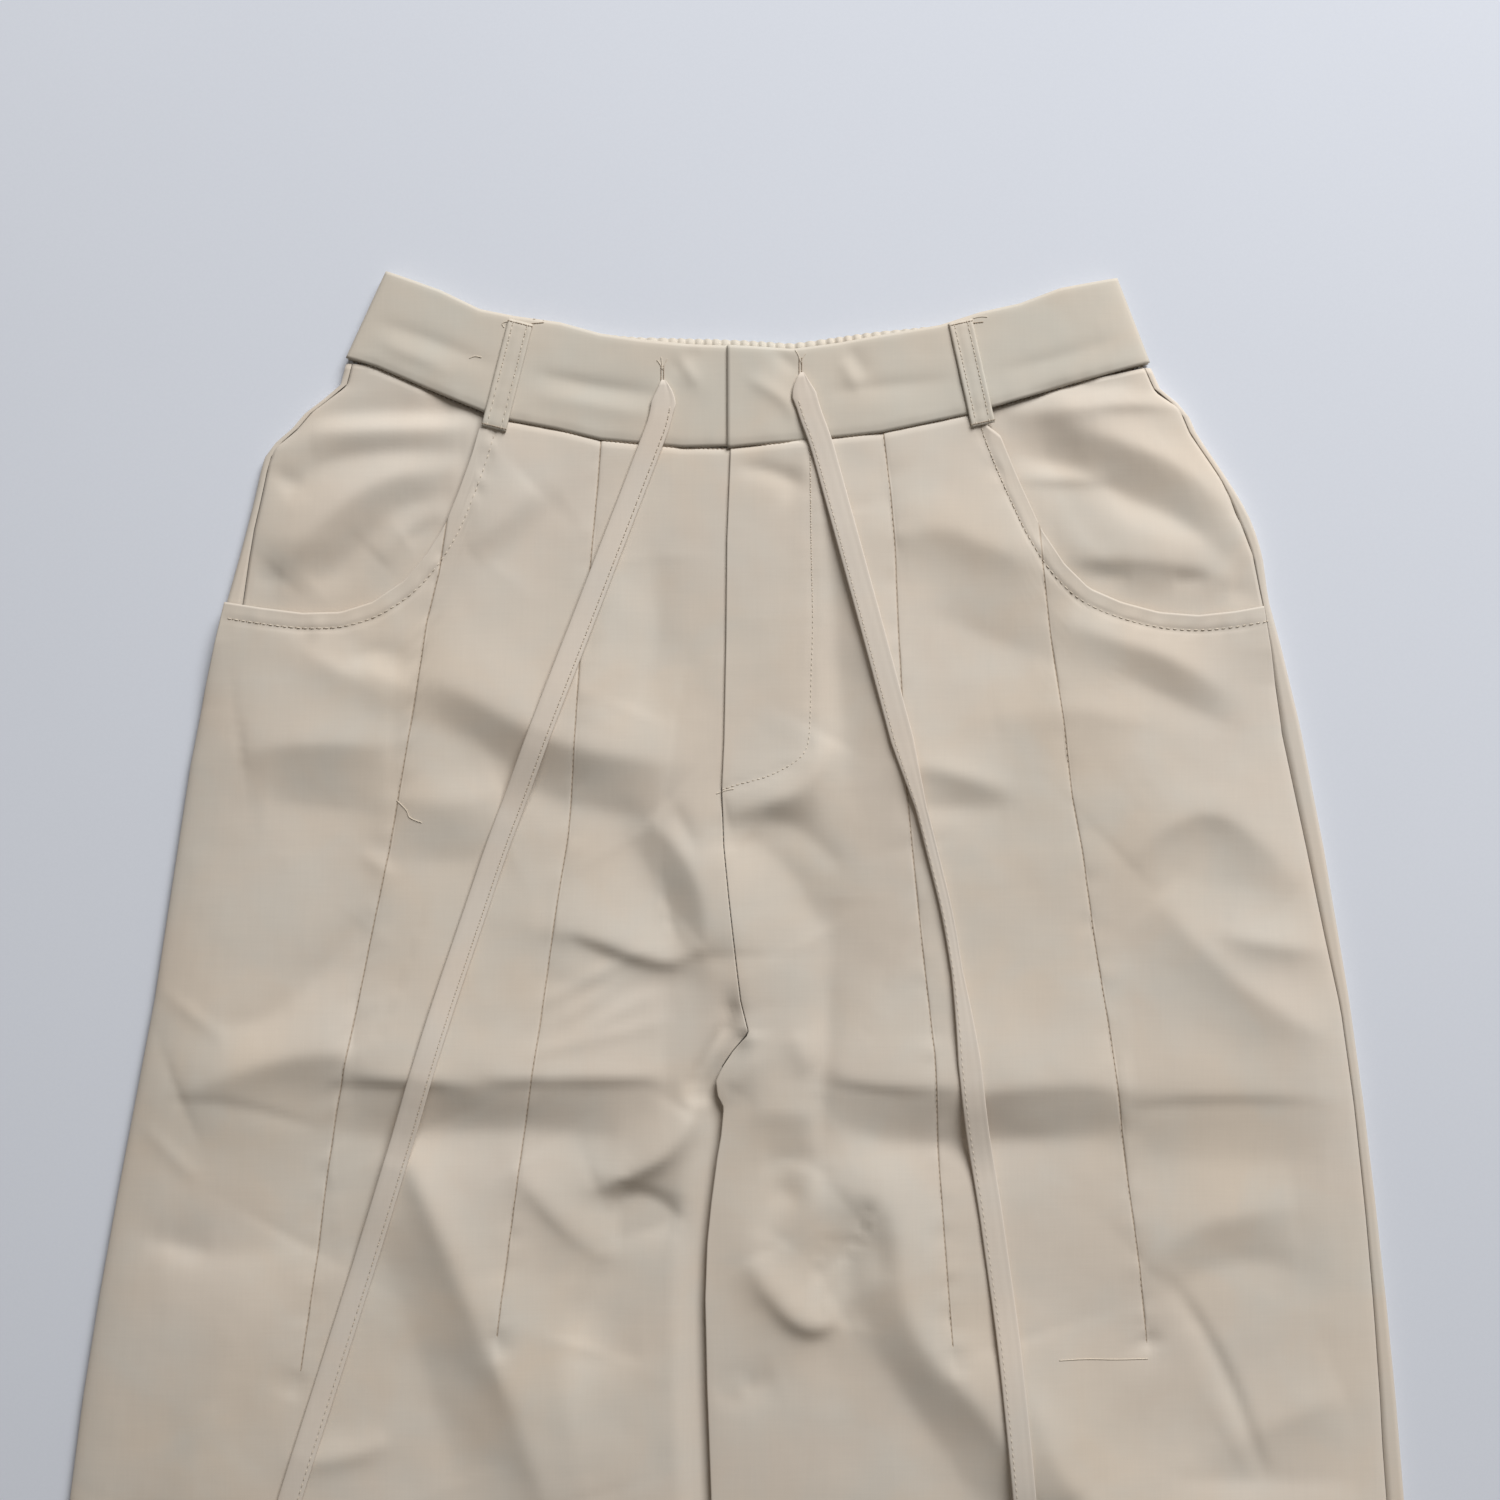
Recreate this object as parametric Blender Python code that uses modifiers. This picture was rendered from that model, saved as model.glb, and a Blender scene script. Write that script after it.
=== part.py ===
"""Easy trousers with a drawstring waist, lying flat on their back.

Lengths are in millimetres until a mesh is made. A place on the garment is (x, down):
x runs to the viewer's right, down is the distance below the highest point of the waist.
Each front piece is a grid of heights over the floor, extruded down by its wall.
Each back piece is a loft of sections, one for each row, that curls up at the side.
"""
import math

import bpy
import numpy as np
from mathutils import Vector
from mathutils.bvhtree import BVHTree

MM = 0.001
LENGTH = 1010.0       # waist corner to hem
WALL = 1.4            # a front piece, measured upright
BACK_WALL = 1.2
BAND_WALL = 1.6       # the waistband is folded double
GAP = 0.3             # between pieces that are sewn to each other
LOFT = 7.0            # how high the upper cloth lies over the floor
ROLL = 2.2            # radius of the back where it turns round the side
STRIP_TOP = 2 * ROLL  # height of the strip of the back that shows beside the front
LOW_EDGE = 3.0        # an edge of the front that rests on the back
UNDER_LEG = 2.9       # the left leg's inner edge, flat under the right leg
LEG_LIFT = 3.3        # the right back, where it lies on the left leg
LEG_EDGE = 6.4        # the right leg's free edge, on the left leg
FLY_LIFT = 2.0        # the right front, where it laps over the left at the fly
GATHERS = 80
GATHER_DEPTH = 1.4
TIE_WIDTH = 9.6
TIE_WALL = 1.6

# down, x
LEFT_OUTLINE = (
    (36.3, -163.4), (47.9, -166.3), (58.8, -180.8), (66.7, -187.5), (73.8, -196.3),
    (80, -198.8), (91.7, -201.3), (105, -204.6), (120.8, -208.8), (139.6, -214.2),
    (172.9, -222.1), (206.3, -228.8), (241.7, -234.2), (304.2, -243.8), (345.8, -251.7),
    (387.5, -259.6), (429.2, -267.1), (470.9, -273.8), (512.5, -279.2), (560, -282),
    (620, -281), (700, -277), (850, -268), (1010, -258),
)
RIGHT_OUTLINE = (
    (38.3, 172.5), (50.4, 177.9), (57.1, 187.9), (67.9, 192.5), (82.5, 202.5),
    (94.6, 210.4), (105, 215.8), (118.3, 220), (137.1, 222.5), (157.1, 227.9),
    (190, 235.8), (241.7, 245.8), (304.2, 256.3), (345.8, 262.1), (387.5, 267.1),
    (429.2, 271.7), (470.9, 275.8), (512.5, 279.2), (560, 282), (620, 281),
    (700, 277), (850, 268), (1010, 258),
)
# down, width of the back that shows inside the outline
LEFT_STRIP = ((36, 0.8), (89, 0.8), (108, 1.2), (121, 2.5), (138, 5), (160, 5), (1010, 5))
RIGHT_STRIP = (
    (38, 0.8), (87, 0.8), (102, 3.2), (117, 2.2), (138, 0.8), (153, 2.4), (193, 6.3),
    (242, 5.3), (276, 4), (311, 2.2), (352, 2.2), (397, 2.8), (440, 3.8), (492, 5.3),
    (560, 5.8), (1010, 5.8),
)
# down, share of the full turn of the left back round the side
LEFT_WRAP = ((36, 1), (150, 1), (168, 0), (1010, 0))
# down, height of the left front's outer edge
LEFT_EDGE_HEIGHT = ((130, 6.3), (155, 6.3), (168, 4.8), (182, 3.4), (196, LOW_EDGE), (1010, LOW_EDGE))
RIGHT_EDGE_HEIGHT = ((130, 6.3), (158, 6.3), (173, STRIP_TOP), (1010, STRIP_TOP))
# x, down
WAIST_TOP = (
    (-146.7, 0), (-123.8, 8.3), (-107.1, 16.3), (-92.5, 19.2), (-73.8, 21.7),
    (-57.1, 26.3), (-40.4, 28.8), (-20.8, 30.8), (-4.2, 31.3), (23.3, 32.9),
    (41.7, 30.4), (59.6, 27.1), (84.6, 22.9), (101.3, 17.5), (117.9, 13.8),
    (134.6, 7.5), (158.8, 2.9),
)
WAIST_SEAM = (
    (-163.4, 36.3), (-150.4, 40.4), (-129.2, 49.6), (-105.8, 59.2), (-94.6, 62.9),
    (-75.8, 66.3), (-57.1, 70.8), (-22.9, 74), (-2.9, 74.3), (5.4, 73.4),
    (27.5, 71.3), (60, 67.9), (97.1, 60), (107.1, 57.1), (138.3, 47.9), (172.5, 38.3),
)
LEFT_SCOOP = (
    (-213.4, 138.3), (-197.9, 140.8), (-180.8, 142.9), (-165, 142.5), (-151.7, 138.3),
    (-138.3, 129.2), (-129.2, 118.3), (-121.7, 106.3), (-116.3, 93.3), (-110.4, 77.1),
    (-107.1, 65.4), (-105, 59.6),
)
RIGHT_SCOOP = (
    (106.5, 57.6), (109.6, 68.8), (117.5, 87.9), (126.7, 107.9), (136.3, 122.5),
    (146.7, 132.5), (160, 138.3), (175.8, 142.5), (192.1, 143.8), (207.9, 142.1),
    (223.5, 139.2),
)
# down, x of the long sewn darts; below its end each line only guides the grid
LEFT_OUTER_DART = (
    (60, -116), (98.3, -120), (126.3, -124.2), (146.3, -129.2), (172.9, -132.9),
    (203.3, -138.3), (241.7, -145), (281.3, -153.3), (321.3, -160.8), (352.1, -167.1),
    (380, -171.3), (414.6, -175.4), (459.2, -181.7), (600, -190), (1010, -180),
)
LEFT_INNER_DART = (
    (60, -56), (86.7, -57.9), (125, -61.3), (161.7, -65.4), (197.1, -67.5),
    (235.4, -70.4), (264.2, -75), (287.9, -78.3), (315.9, -82.1), (362.5, -89.2),
    (422.9, -97.1), (443.8, -99.6), (600, -108), (1010, -100),
)
RIGHT_INNER_DART = (
    (60, 60), (92.1, 63.8), (116.3, 65.8), (150, 67.1), (218.8, 70.8), (253.3, 74.2),
    (285, 77.5), (326.3, 82.1), (372.9, 84.2), (415, 87.1), (448.4, 89.6),
    (600, 96), (1010, 94),
)
RIGHT_OUTER_DART = (
    (60, 122), (105.4, 125.8), (123.8, 127.5), (152.9, 130.8), (190, 136.3),
    (219.2, 139.6), (241.7, 143.8), (281.3, 149.2), (319.6, 155.4), (352.1, 159.6),
    (380, 162.9), (414.6, 167.5), (447.1, 170.8), (600, 178), (1010, 172),
)
# down, x of the right front's left edge: the fly, the centre seam, then the leg's free edge
RIGHT_FRONT_EDGE = (
    (70, -2.5), (112.5, -4.2), (154.2, -4.6), (195.8, -5.4), (215.8, -6.3), (240, -5.4),
    (261.3, -3.3), (287.5, -0.4), (305, 1.7), (317.9, 5), (325, -1.3), (332.5, -6.3),
    (338, -8.8), (344, -8.2), (349, -5.6), (361, -6.7), (370, -8.3), (389, -10.8),
    (406, -12.5), (429, -13.3), (466, -12.5), (512, -10.8), (560, -8.5), (600, -5),
    (650, 1), (700, 6), (850, 12), (1010, 16),
)
# down, x of the left front's right edge, under the fly and under the right leg
LEFT_FRONT_EDGE = (
    (70, 5), (190, 3), (205, 0), (212, -4.4), (215.8, -6.6), (240, -5.7), (261.3, -3.6),
    (287.5, -0.7), (305, 1.4), (317.9, 4.7), (325, -1.6), (332.5, -6.6), (345, -6.6),
    (352, -4.6), (600, -5.2), (650, -7.5), (700, -10), (850, -17), (1010, -22),
)
# down, x of the two back pieces' edges at the centre seam and the inside leg
LEFT_BACK_EDGE = ((30, -4.3), (600, -4.6), (650, -7.5), (700, -10), (850, -17), (1010, -22))
RIGHT_BACK_EDGE = (
    (30, -3.6), (345, -3.6), (352, -4), (361, -5), (370, -6.6), (389, -9.2),
    (406, -10.9), (429, -11.7), (466, -10.9), (512, -9.2), (560, -6.9), (600, -3.5),
    (650, 2.4), (700, 7.4), (850, 13.4), (1010, 17.4),
)
# down, share of LEG_LIFT
BACK_LIFT = ((318, 0), (330, 1), (612, 1), (650, 0), (1010, 0))
# down, height of the left front beside the right leg, and of the right leg's edge
LEFT_INNER_HEIGHT = ((318, 7), (325, 6.6), (332, 5.4), (338, 4.4), (345, 3.3), (352, UNDER_LEG), (1010, UNDER_LEG))
RIGHT_INNER_HEIGHT = ((318, 7.4), (332, 7.2), (345, LEG_EDGE), (612, LEG_EDGE), (660, LOW_EDGE), (1010, LOW_EDGE))

# Folds. Each path runs to the right or down. The steep side is below it or to its left.
# name, height, width above or right, width below or left, path of (x, down)
FOLDS = (
    ("left yoke ridge", 1.5, 8, 8, ((-152, 62), (-110, 65))),
    ("left yoke arc", 2.2, 10, 10, ((-120, 88), (-145, 90), (-170, 108), (-182, 126))),
    ("right yoke ridge", 2.2, 10, 9, ((116, 63), (147, 66), (185, 90), (208, 108))),
    ("right yoke lower", 1.4, 10, 8, ((138, 116), (170, 118), (195, 128))),
    ("left knee line", 3.2, 26, 12, ((-222, 341), (-165, 326), (-150, 337), (-34, 337))),
    ("left knee hollow", -2.4, 12, 14, ((-185, 372), (-140, 360), (-50, 361))),
    ("right knee line", 3.2, 24, 12, ((40, 333), (70, 340), (160, 336), (245, 341))),
    ("right knee hollow", -2.2, 12, 14, ((52, 359), (158, 361))),
    ("left thigh slant", 2.2, 14, 12, ((-202, 163), (-140, 187))),
    ("left thigh dip", -1.8, 12, 14, ((-196, 213), (-148, 222))),
    ("left front crown", 1.8, 12, 10, ((-122, 118), (-94, 100), (-64, 124))),
    ("left front shoulder", 2.2, 16, 11, ((-128, 168), (-92, 182), (-74, 181))),
    ("left front hollow", -2.0, 11, 12, ((-130, 190), (-98, 204), (-36, 222))),
    ("left inner swoosh", 2.2, 12, 9, ((-78, 270), (-40, 286), (-20, 291))),
    ("left of centre", 2.6, 8, 10, ((-34, 226), (-20, 245), (-16, 275), (-14, 304))),
    ("centre seam", 2.4, 22, 10, ((-6, 226), (-3, 262), (3, 306))),
    ("right of centre", -1.6, 10, 10, ((30, 245), (38, 300), (34, 348))),
    ("fly foot", 1.2, 9, 9, ((-2, 226), (24, 219), (40, 199))),
    ("beside the fly", -2.0, 9, 10, ((42, 118), (45, 170), (50, 216))),
    ("under the right tie", 2.0, 16, 12, ((66, 130), (72, 180), (78, 230))),
    ("right front crown", 1.8, 11, 10, ((72, 104), (93, 103), (120, 120))),
    ("right front small", 1.4, 9, 9, ((80, 206), (108, 213))),
    ("right thigh peak", 2.4, 12, 12, ((156, 246), (182, 226), (215, 239), (232, 253))),
    ("right thigh edge", 1.6, 9, 9, ((205, 276), (240, 281))),
    ("right thigh slant", 2.2, 12, 12, ((180, 280), (236, 322))),
    ("left shin ridge", 3.0, 22, 20, ((-186, 400), (-205, 440), (-222, 505))),
    ("left middle ridge", 3.2, 14, 10, ((-132, 369), (-112, 428), (-84, 492))),
    ("left middle hollow", -1.8, 10, 14, ((-146, 388), (-124, 440), (-96, 500))),
    ("left inner tongue", 2.0, 12, 10, ((-88, 372), (-60, 402))),
    ("left inner hollow", -2.0, 12, 16, ((-45, 384), (-58, 448))),
    ("right arch", 4.0, 13, 10, ((53, 398), (64, 381), (82, 412), (98, 455), (126, 496))),
    ("right arch hollow", -1.8, 10, 12, ((50, 424), (76, 471), (104, 508))),
    ("right lobe", 3.0, 13, 9, ((8, 424), (26, 439), (43, 427))),
    ("right lobe dip", -1.6, 9, 9, ((27, 376), (16, 402))),
    ("right foot small", 1.2, 9, 9, ((-4, 470), (16, 475))),
    ("right low sweep", 4.2, 26, 14, ((112, 424), (128, 472), (150, 502), (194, 518), (256, 514))),
    ("right low arch", 1.8, 11, 10, ((172, 410), (194, 398), (232, 394))),
    ("right low crease", 1.6, 14, 9, ((198, 424), (220, 478))),
    ("left calf outer", 2.6, 26, 24, ((-224, 540), (-212, 640), (-214, 760))),
    ("left calf inner", 2.8, 22, 20, ((-92, 545), (-112, 640), (-122, 720))),
    ("left hem fold", 2.2, 22, 22, ((-150, 800), (-142, 990))),
    ("right calf outer", 2.6, 24, 24, ((210, 580), (196, 690), (200, 790))),
    ("right calf inner", 3.0, 22, 20, ((72, 540), (92, 640), (98, 730))),
    ("right hem fold", 2.2, 22, 22, ((142, 810), (136, 990))),
)

# down levels of the rows, for a column that starts at the waist
LEVELS = (
    74, 88, 102, 116, 130, 145, 160, 175, 190, 205, 218, 230, 240, 255, 270, 285, 300,
    309, 318, 325, 332, 338, 345, 352, 362, 374, 388, 402, 416, 432, 448, 466, 486, 508,
    535, 570, 620, 690, 780, 890, 1010,
)
BACK_LEVELS = (
    74, 84, 93, 102, 111, 120, 130, 145, 160, 175, 205, 240, 270, 300, 318, 325, 332, 338,
    345, 352, 362, 374, 388, 416, 448, 486, 535, 570, 620, 690, 780, 890, 1010,
)
BLEND_LEVEL = 240.0   # rows above this bend to follow the top edge


def clear():
    for obj in list(bpy.data.objects):
        bpy.data.objects.remove(obj, do_unlink=True)


def value(table, at):
    """The second column of a table, read at places of its first."""
    first, second = zip(*table)
    return np.interp(at, first, second)


def ease(t):
    t = np.clip(t, 0, 1)
    return t * t * (3 - 2 * t)


def to_path(x, down, path):
    """Distance to a path, the side as a sign, and how far along it the nearest point is."""
    x, down = np.asarray(x, float), np.asarray(down, float)
    nearest = np.full(x.shape, 1e9)
    side = np.ones(x.shape)
    along = np.zeros(x.shape)
    lengths = [math.dist(a, b) for a, b in zip(path, path[1:])]
    start = 0.0
    for a, b, length in zip(path, path[1:], lengths):
        tx, td = (b[0] - a[0]) / length, (b[1] - a[1]) / length
        t = np.clip((x - a[0]) * tx + (down - a[1]) * td, 0, length)
        vx, vd = x - a[0] - t * tx, down - a[1] - t * td
        distance = np.hypot(vx, vd)
        closer = distance < nearest
        nearest = np.where(closer, distance, nearest)
        side = np.where(closer, np.sign(tx * vd - td * vx), side)
        along = np.where(closer, (start + t) / sum(lengths), along)
        start += length
    return nearest, side, along


def folds(x, down):
    """Height that the folds add at (x, down)."""
    total = np.zeros(np.shape(x))
    for _, height, width_a, width_b, path in FOLDS:
        distance, side, along = to_path(x, down, path)
        width = np.where(side > 0, width_b, width_a)
        ends = 0.25 + 0.75 * np.sin(np.pi * np.clip(along, 0, 1)) ** 0.7
        total += height * ends * np.exp(-((distance / width) ** 2))
    return total


def roll_in(distance):
    """How far the cloth has risen from an edge towards its full height."""
    return np.interp(distance, (0, 1.2, 4, 9, 15), (0, 0.3, 0.64, 0.9, 1))


def side_rows(top):
    """Where the rows of a back piece cross its side."""
    levels = np.array(BACK_LEVELS, float)
    share = (BLEND_LEVEL - levels) / (BLEND_LEVEL - levels[0])
    return np.where(levels < BLEND_LEVEL, BLEND_LEVEL - (BLEND_LEVEL - top) * share, levels)


LEFT_TOP, RIGHT_TOP = 38.6, 40.4    # where the back starts to turn round each side
LEFT_ROWS, RIGHT_ROWS = side_rows(LEFT_TOP), side_rows(RIGHT_TOP)


def seam_x(down):
    """The line on the right where the back's strip meets the front."""
    ends = value(RIGHT_OUTLINE, RIGHT_ROWS) - ROLL - value(RIGHT_STRIP, RIGHT_ROWS)
    return np.interp(down, RIGHT_ROWS, ends)


def left_seam_x(down):
    ends = value(LEFT_OUTLINE, LEFT_ROWS) + ROLL + value(LEFT_STRIP, LEFT_ROWS)
    return np.interp(down, LEFT_ROWS, ends)


def cloth_height(x, down):
    """Top of the upper cloth, before any edge of it is rolled down."""
    calm = 1 - 0.75 * np.exp(-((to_path(x, down, LEFT_SCOOP)[0] / 12) ** 2))
    calm *= 1 - 0.75 * np.exp(-((to_path(x, down, RIGHT_SCOOP)[0] / 12) ** 2))
    return np.maximum(LOFT + calm * folds(x, down), 4.0)


def dart_groove(x, down, table, end):
    near = np.exp(-(((x - value(table, down)) / 3) ** 2))
    return 0.6 * near * ease((end - down) / 30)


def left_front_height(x, down):
    height = cloth_height(x, down)
    height -= dart_groove(x, down, LEFT_OUTER_DART, 459) + dart_groove(x, down, LEFT_INNER_DART, 444)
    edge = value(LEFT_EDGE_HEIGHT, down)
    height = edge + (height - edge) * roll_in(x - value(LEFT_OUTLINE, down))
    reach = np.minimum(value(RIGHT_FRONT_EDGE, down), value(LEFT_FRONT_EDGE, down) + 3)
    low = ease((x - (reach - 15)) / 13) * ease((down - 316) / 4)
    return height + (value(LEFT_INNER_HEIGHT, down) - height) * low


def right_front_height(x, down):
    height = cloth_height(x, down)
    height -= dart_groove(x, down, RIGHT_OUTER_DART, 447) + dart_groove(x, down, RIGHT_INNER_DART, 448)
    on_leg = ease((8 - x) / 6) * ease((down - 322) / 8) * ease((640 - down) / 20)
    height = np.maximum(height, LEG_EDGE * on_leg)
    height = height + FLY_LIFT * ease((42 - x) / 12) * ease((232 - down) / 14)
    edge = value(RIGHT_INNER_HEIGHT, down)
    free = ease((down - 318) / 8)
    inner = 1 - roll_in(x - value(RIGHT_FRONT_EDGE, down))
    height = height + (edge - height) * inner * free
    outer = 1 - roll_in(seam_x(down) - x)
    return height + (value(RIGHT_EDGE_HEIGHT, down) - height) * outer


def yoke_height(x, down, scoop, outer_distance):
    from_scoop = to_path(x, down, scoop)[0]
    drop = 2.4 - 1.6 * ease((from_scoop - 14) / 18)
    height = cloth_height(x, down) - drop
    return STRIP_TOP + (height - STRIP_TOP) * roll_in(outer_distance)


def band_height(x, down):
    height = cloth_height(x, down) + 0.6
    sides = np.minimum(x - value(((0, -146.7), (36.3, -163.4)), down), value(((2.9, 158.8), (38.3, 172.5)), down) - x)
    return 4.9 + (height - 4.9) * roll_in(sides + 0.2)


def material(name, colour, roughness, sheen):
    made = bpy.data.materials.new(name)
    made.use_nodes = True
    shader = made.node_tree.nodes["Principled BSDF"]
    shader.inputs["Base Color"].default_value = (*colour, 1)
    shader.inputs["Roughness"].default_value = roughness
    shader.inputs["Sheen Weight"].default_value = sheen
    return made


def add_object(name, vertices, faces, look):
    """A mesh object in the garment's collection, from points in (x, down, height)."""
    places = [(x * MM, (LENGTH / 2 - down) * MM, z * MM) for x, down, z in vertices]
    mesh = bpy.data.meshes.new(name)
    mesh.from_pydata(places, [], faces)
    mesh.validate()
    mesh.materials.append(look)
    for face in mesh.polygons:
        face.use_smooth = True
    obj = bpy.data.objects.new(name, mesh)
    GARMENT.objects.link(obj)
    return obj


def grid_faces(rows, columns, flip=False):
    faces = []
    for r in range(rows - 1):
        for c in range(columns - 1):
            a = r * columns + c
            quad = (a, a + columns, a + columns + 1, a + 1)
            faces.append(quad[::-1] if flip else quad)
    return faces


def slab(name, x, down, top, wall, look):
    """A closed piece: a grid of points, and the same grid again, lower by the wall."""
    rows, columns = x.shape
    upper = np.stack([x, down, top], -1).reshape(-1, 3)
    lower = np.stack([x, down, top - wall], -1).reshape(-1, 3)
    count = rows * columns
    faces = grid_faces(rows, columns)
    faces += [tuple(i + count for i in face[::-1]) for face in grid_faces(rows, columns)]
    rim = [c for c in range(columns)]
    rim += [r * columns + columns - 1 for r in range(1, rows)]
    rim += [(rows - 1) * columns + c for c in range(columns - 2, -1, -1)]
    rim += [r * columns for r in range(rows - 2, 0, -1)]
    for a, b in zip(rim, rim[1:] + rim[:1]):
        faces.append((a, b, b + count, a + count))
    return add_object(name, np.concatenate([upper, lower]), faces, look)


def rows_of(levels, tops, column_x):
    """x and down of a grid whose columns start on a bent top edge and end at the hem."""
    levels = np.asarray(levels, float)
    share = np.clip((BLEND_LEVEL - levels) / (BLEND_LEVEL - levels[0]), 0, 1)
    x = np.zeros((len(levels), len(tops)))
    down = np.zeros_like(x)
    for c, top in enumerate(tops):
        down[:, c] = np.where(levels < BLEND_LEVEL, BLEND_LEVEL - (BLEND_LEVEL - top) * share, levels)
        x[:, c] = column_x(c, down[:, c])
    return x, down


def columns_between(lines, shares):
    """A column for each share of each space between two lines of (down, x)."""
    places = []
    for i, portion in enumerate(shares):
        places += [(i, s) for s in portion[:-1]]
    places.append((len(shares) - 1, 1.0))

    def column_x(c, down):
        i, s = places[c]
        return lines[i](down) * (1 - s) + lines[i + 1](down) * s

    return len(places), column_x


def top_of_column(column_x, c, edge):
    """Where a column meets the top edge, a table of (x, down)."""
    low, high = 20.0, BLEND_LEVEL - 20
    for _ in range(40):
        middle = (low + high) / 2
        if middle < value(edge, column_x(c, middle)):
            low = middle
        else:
            high = middle
    return high


def line(table, shift=0.0):
    return lambda down: value(table, down) + shift


def lower_seam(x_from, x_to):
    return [(x, d + GAP / 2) for x, d in WAIST_SEAM if x_from < x < x_to]


def front(name, lines, shares, edge, height, look):
    count, column_x = columns_between(lines, shares)
    tops = [top_of_column(column_x, c, edge) for c in range(count)]
    x, down = rows_of(LEVELS, tops, column_x)
    return slab(name, x, down, height(x, down), WALL, look)


def along_path(path, count):
    """Points at even distances along a path of (x, down)."""
    path = np.asarray(path, float)
    steps = np.r_[0, np.cumsum(np.hypot(*np.diff(path, axis=0).T))]
    at = np.linspace(0, steps[-1], count)
    return np.stack([np.interp(at, steps, path[:, 0]), np.interp(at, steps, path[:, 1])], -1)


def patch(top, bottom, left, right, across, deep):
    """A grid that fills four edges. Edges run left to right and top to bottom."""
    top, bottom = along_path(top, across), along_path(bottom, across)
    left, right = (np.array(e, float) if len(e) == deep else along_path(e, deep) for e in (left, right))
    u = np.linspace(0, 1, across)[None, :, None]
    v = np.linspace(0, 1, deep)[:, None, None]
    ends = (1 - u) * left[:, None] + u * right[:, None]
    sides = (1 - v) * top[None] + v * bottom[None]
    corners = (1 - v) * ((1 - u) * top[0] + u * top[-1]) + v * ((1 - u) * bottom[0] + u * bottom[-1])
    points = ends + sides - corners
    return points[..., 0], points[..., 1]


def back(name, outline, strip, wrap, inner, shoulder, foot, side, side_top, edge_of_band, look):
    """A back piece: sections from the inside leg to the side, where each curls up."""
    full = ((3.8, 0), (ROLL, 0), (0.65, 0.65), (0, ROLL), (0.65, 2 * ROLL - 0.65), (ROLL, 2 * ROLL))
    low = ((5, 0), (3.8, 0), (2.6, 0), (1.6, 0.03), (0.8, 0.15), (0.3, 0.4))
    spread = (0.2, 0.45, 0.72)
    starts = [value(inner, 60), shoulder(60), foot(60)]
    starts += [starts[2] + s * (value(outline, 60) - starts[2]) for s in spread]
    tops = [float(value(WAIST_SEAM, s)) + GAP / 2 for s in starts] + [side_top] * 8
    share = np.clip((BLEND_LEVEL - np.array(BACK_LEVELS, float)) / (BLEND_LEVEL - BACK_LEVELS[0]), 0, 1)
    points = []
    for level, part in zip(BACK_LEVELS, share):
        downs = [BLEND_LEVEL - (BLEND_LEVEL - top) * part if level < BLEND_LEVEL else level for top in tops]
        edge, turn = value(outline, downs[-1]), value(wrap, downs[-1])
        xs = [value(inner, downs[0]), shoulder(downs[1]), foot(downs[2])]
        xs += [xs[2] + s * (value(outline, d) - xs[2]) for s, d in zip(spread, downs[3:6])]
        lifts = [LEG_LIFT * value(BACK_LIFT, d) if side < 0 else 0.0 for d in downs[:2]] + [0.0] * 4
        points += list(zip(xs, downs, lifts))
        points.append((edge + side * 7, downs[6], 0.0))
        for (fx, fz), (lx, lz) in zip(full, low):
            points.append((edge + side * (lx + (fx - lx) * turn), downs[-1], lz + (fz - lz) * turn))
        reach = (ROLL + value(strip, downs[-1])) * turn
        points.append((edge + side * reach, downs[-1], 0.9 + (2 * ROLL - 0.9) * turn))
    edge_of_band += [(float(x), float(d)) for x, d, _ in points[:8]]
    obj = add_object(name, points, grid_faces(len(BACK_LEVELS), 14, flip=side < 0), look)
    solid = obj.modifiers.new("wall", "SOLIDIFY")
    solid.thickness = BACK_WALL * MM
    solid.offset = -1
    return obj


def surface_finder(objects):
    """A function that gives the height of the highest piece under (x, down)."""
    trees = []
    for obj in objects:
        mesh = obj.data
        trees.append(BVHTree.FromPolygons([v.co for v in mesh.vertices], [p.vertices for p in mesh.polygons]))

    def height(x, down):
        best = 0.0
        for tree in trees:
            hit = tree.ray_cast(Vector((x * MM, (LENGTH / 2 - down) * MM, 0.1)), Vector((0, 0, -1)))
            if hit[0] is not None:
                best = max(best, hit[0].z / MM)
        return best

    return height


def belt_loop(name, top, foot, width, height, look):
    """A strip that lies over the band, with both ends sewn down."""
    direction = np.array(foot) - np.array(top)
    length = math.hypot(*direction)
    direction = direction / length
    across = np.array([direction[1], -direction[0]])
    sides = np.array([-0.5, -0.17, 0.17, 0.5]) * width
    x, down, z = (np.zeros((9, 4)) for _ in range(3))
    for r in range(9):
        for c, shift in enumerate(sides):
            x[r, c], down[r, c] = np.array(top) + direction * length * r / 8 + across * shift
    for r in range(9):
        around = [height(x[r, c] + dx, down[r, c] + dy) for c in range(4) for dx in (-1, 1) for dy in (-3, 0, 3)]
        z[r, :] = max(around) + 0.35 + 0.5 * math.sin(math.pi * r / 8)
    if across[0] < 0:
        x, down, z = x[:, ::-1], down[:, ::-1], z[:, ::-1]
    return slab(name, x, down, z + 1.4, 1.4, look)


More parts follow.
